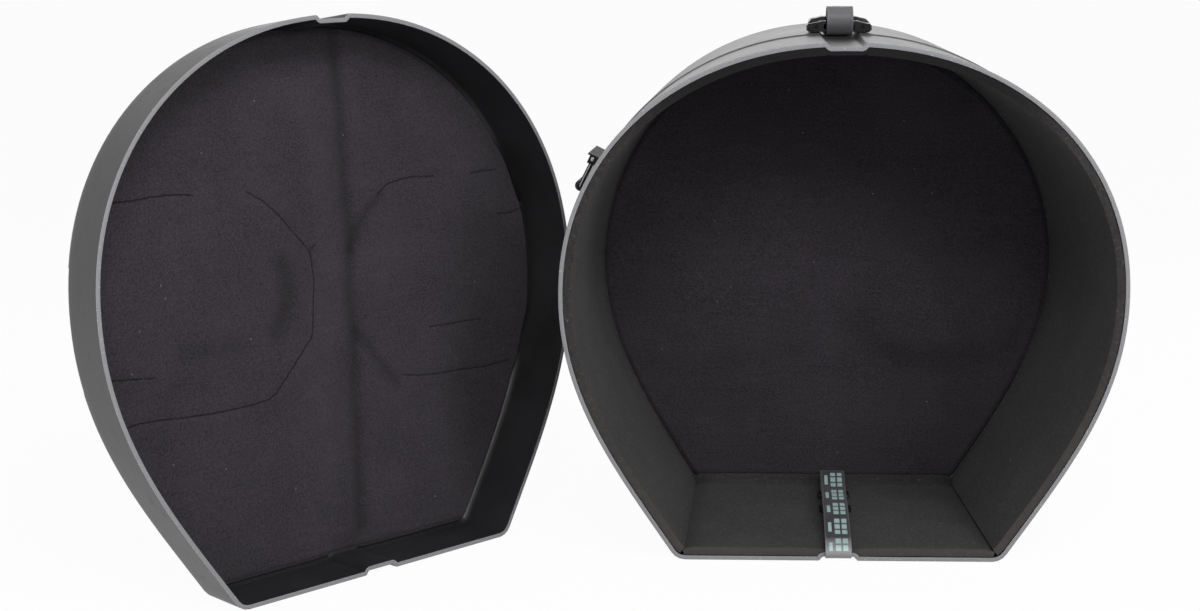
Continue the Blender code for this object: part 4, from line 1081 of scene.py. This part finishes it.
def strapPath():
    sunk = inChannel - 0.0002
    slotY = buckle["y"] + buckle["rearSlot"]
    landY = slotY + 0.0130
    low = capHeight - bodySkin(landY)[1] - sunk
    rise = smoothPath([(slotY, deck + 0.0110), (slotY, deck + 0.0030),
                       (slotY + 0.0030, low + 0.0018), (landY, low)], 4)
    outer = [point - normal * sunk for point, normal in girthStations()]
    floorZ = floorPad["top"] + 0.0002
    inside = smoothPath([
        (0.012, sunk), (0.003, sunk), (-0.0020, sunk + 0.0006), (-0.0048, 0.0075),
        (-0.0062, 0.0115), (-0.0052, 0.0158), (-0.0012, 0.0195), (0.0060, 0.0222),
        (0.018, floorZ + 0.0062), (0.034, floorZ + 0.0074), (0.060, floorZ + 0.0085),
        (0.120, floorZ + 0.0145), (0.200, floorZ + 0.0150),
        (0.290, floorZ + 0.0135), (0.338, floorZ + 0.0200), (0.356, floorZ + 0.0215),
        (0.3640, floorZ + 0.0145), (0.356, floorZ + 0.0060), (0.338, floorZ + 0.0022),
        (0.240, floorZ + 0.0022), (0.2225, floorZ + 0.0050), (0.2145, floorZ + 0.0078),
        (0.2085, floorZ + 0.0085), (0.2058, floorZ + 0.0078), (0.2045, floorZ + 0.0055),
        (0.2045, floorZ + 0.0030)], 5)
    path = rise + outer + inside
    shift = [0.0] * (len(rise) + len(outer))
    shift += [0.013 * min(1.0, max(0.0, point.x / 0.34)) for point in inside]
    total, marks = 0.0, []
    for i, point in enumerate(path):
        total += (point - path[i - 1]).length if i else 0.0
        marks.append(total)
    start = len(rise) + len(outer)
    printed = [mark for point, mark in zip(path[start:], marks[start:])
               if point.x > -0.0055 and point.y > 0.010
               and mark < marks[start] + webbing["printReach"]]
    return path, shift, printed[0], printed[-1]


path, shift, printFrom, printTo = strapPath()
strapFinish = wovenStrap("printedWebbing", {"from": printFrom, "to": printTo,
                                            "group": webbing["printEvery"]})
# the loop is the same webbing painted 2.4 times lighter, as painted light where the top light
# falls on it
loopFinish = wovenStrap("plainWebbing", None, 2.4)
makeWebbing("closingStrap", "closing_strap", path, shift, strapFinish)


def loopPath():
    low = deck - inChannel + 0.0004
    slotY = buckle["y"] + buckle["frontSlot"]
    top = deck + buckle["frontTall"]
    y = buckle["y"]
    return smoothPath([(y + 0.016, low), (y + 0.002, low + 0.0003), (y - 0.009, low + 0.004),
                       (y - 0.017, low + 0.016), (y - 0.017, top + 0.008),
                       (y - 0.006, top + 0.0195), (y + 0.008, top + 0.0175),
                       (slotY - 0.0006, top + 0.0060), (slotY, top - 0.0010),
                       (slotY, top - 0.0040)], 6)


loopPoints = loopPath()
makeWebbing("strapLoop", "strap_loop", loopPoints, [0.0] * len(loopPoints), loopFinish)
print("webbing ready")


# hard parts that keep their solid's form, with broken edges
def brokenEdges(name, node, finish, body, width, segments=2):
    bm = bmesh.new()
    bm.from_mesh(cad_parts[node].data)
    bmesh.ops.remove_doubles(bm, verts=bm.verts, dist=2e-5)
    bmesh.ops.dissolve_limit(bm, angle_limit=math.radians(1.5), verts=bm.verts, edges=bm.edges)
    piece = newPiece(name, bm, finish, body, Matrix(), node)
    addBevel(piece, width, segments, 30)
    piece.modifiers.new("evenShading", "WEIGHTED_NORMAL").keep_sharp = True


brokenEdges("buckleReceiver", "buckle_receiver", buckleFinish, "case", 0.0006, 3)
brokenEdges("buckleRelease", "buckle_release_slide", buckleFinish, "release", 0.0004)
brokenEdges("buckleTongue", "buckle_tongue", buckleFinish, "case", 0.0007, 3)
brokenEdges("strapSlider", "strap_slider", buckleFinish, "case", 0.0005)
for word in ("right", "left"):
    brokenEdges("handlePlate_" + word, "handle_plate_" + word, plateFinish, "case",
                0.0004)
print("buckle and plates ready")


# handle hardware
handleParts = {
    "pivotOut": 0.0114, "pivotUp": 0.013, "bailRadius": 0.003, "bailHalf": 0.040, "bend": 0.004,
    "drop": 0.046, "gripRadius": 0.0085, "gripHalf": 0.034, "earAt": 0.046, "stub": 0.0040,
    "plateFace": 0.0014, "rivetAcross": (-0.028, 0.028), "rivetUp": (-0.014, 0.0245),
}


def makeBail(word, place):
    h = handleParts
    points = [(h["earAt"] + h["stub"], 0.0), (h["earAt"], 0.0)]
    points += [(h["bailHalf"] + h["bend"] * (1 - math.sin(angle)),
                -h["bend"] * (1 - math.cos(angle))) for angle in quarterTurn]
    points += [(h["bailHalf"] - h["bend"] * (1 - math.cos(angle)),
                -h["drop"] + h["bend"] * (1 - math.sin(angle))) for angle in quarterTurn]
    points += [(-y, z) for y, z in reversed(points)]
    bm, _ = sweepSection(20, lambda spot: (spot.x * h["bailRadius"], -spot.y * h["bailRadius"]),
                         [Vector(point) for point in points], [0.0] * len(points))
    piece = newPiece("handleBail_" + word, bm, steelFinish, word + "_handle", place,
                     "handle_bail_" + word)
    addBevel(piece, 0.0005)


def spinProfile(points, centre, axis, steps):
    bm = bmesh.new()
    verts = [bm.verts.new(point) for point in points]
    edges = [bm.edges.new(pair) for pair in zip(verts, verts[1:])]
    bmesh.ops.spin(bm, geom=verts + edges, cent=centre, axis=axis, angle=math.tau, steps=steps,
                   use_merge=True)
    bmesh.ops.remove_doubles(bm, verts=bm.verts, dist=1e-6)
    bmesh.ops.recalc_face_normals(bm, faces=bm.faces)
    return bm


# ribbed grip, closed by its bore round the bail
def makeGrip(word, place):
    h = handleParts
    bore, long, top = h["bailRadius"] + 0.0003, h["gripHalf"], h["gripRadius"]
    profile = [(bore, -long), (top - 0.0020, -long), (top - 0.0006, -long + 0.0012)]
    for step in range(49):
        y = -long + 0.003 + (2 * long - 0.006) * step / 48
        rib = 0.0006 * (0.5 + 0.5 * math.cos(step / 48 * math.tau * 12)) if 4 < step < 44 else 0
        profile.append((top - 0.0002 - rib, y))
    profile += [(top - 0.0006, long - 0.0012), (top - 0.0020, long), (bore, long), (bore, -long)]
    bm = spinProfile([(radius, y, -h["drop"]) for radius, y in profile], (0, 0, -h["drop"]),
                     (0, 1, 0), 28)
    newPiece("handleGrip_" + word, bm, rubberFinish, word + "_handle", place,
             "handle_grip_" + word)


def makeRivets(word, place):
    face = handleParts["plateFace"]
    dome = [(0.0, 0.0022), (0.0013, 0.00205), (0.0026, 0.0017), (0.0036, 0.0011),
            (0.0042, 0.0005), (0.0042, 0.0), (0.0022, 0.0)]
    tail = [(0.0022, -0.0125 - face), (0.0036, -0.0125 - face), (0.0034, -0.0131 - face),
            (0.0028, -0.0135 - face), (0.0, -0.0135 - face)]
    spots = [(y, z) for y in handleParts["rivetAcross"] for z in handleParts["rivetUp"]]
    profile = [(face + out, radius, 0.0) for radius, out in dome + tail]
    for index, (y, z) in enumerate(spots):
        bm = spinProfile(profile, (0, 0, 0), (1, 0, 0), 24)
        name = f"{word}_{index + 1}"
        newPiece("handleRivet_" + name, bm, steelFinish, "case",
                 place @ Matrix.Translation((0.0, y, z)), "handle_rivet_" + name)


for word, wallFrame in handleFrames.items():
    onWall = bodyFrame @ wallFrame
    pivot = onWall @ Matrix.Translation((handleParts["pivotOut"], 0.0, handleParts["pivotUp"]))
    makeBail(word, pivot)
    makeGrip(word, pivot)
    makeRivets(word, onWall)
    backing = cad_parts["handle_backing_" + word]
    backing.data.materials.clear()
    backing.data.materials.append(steelFinish)
print("handles ready")
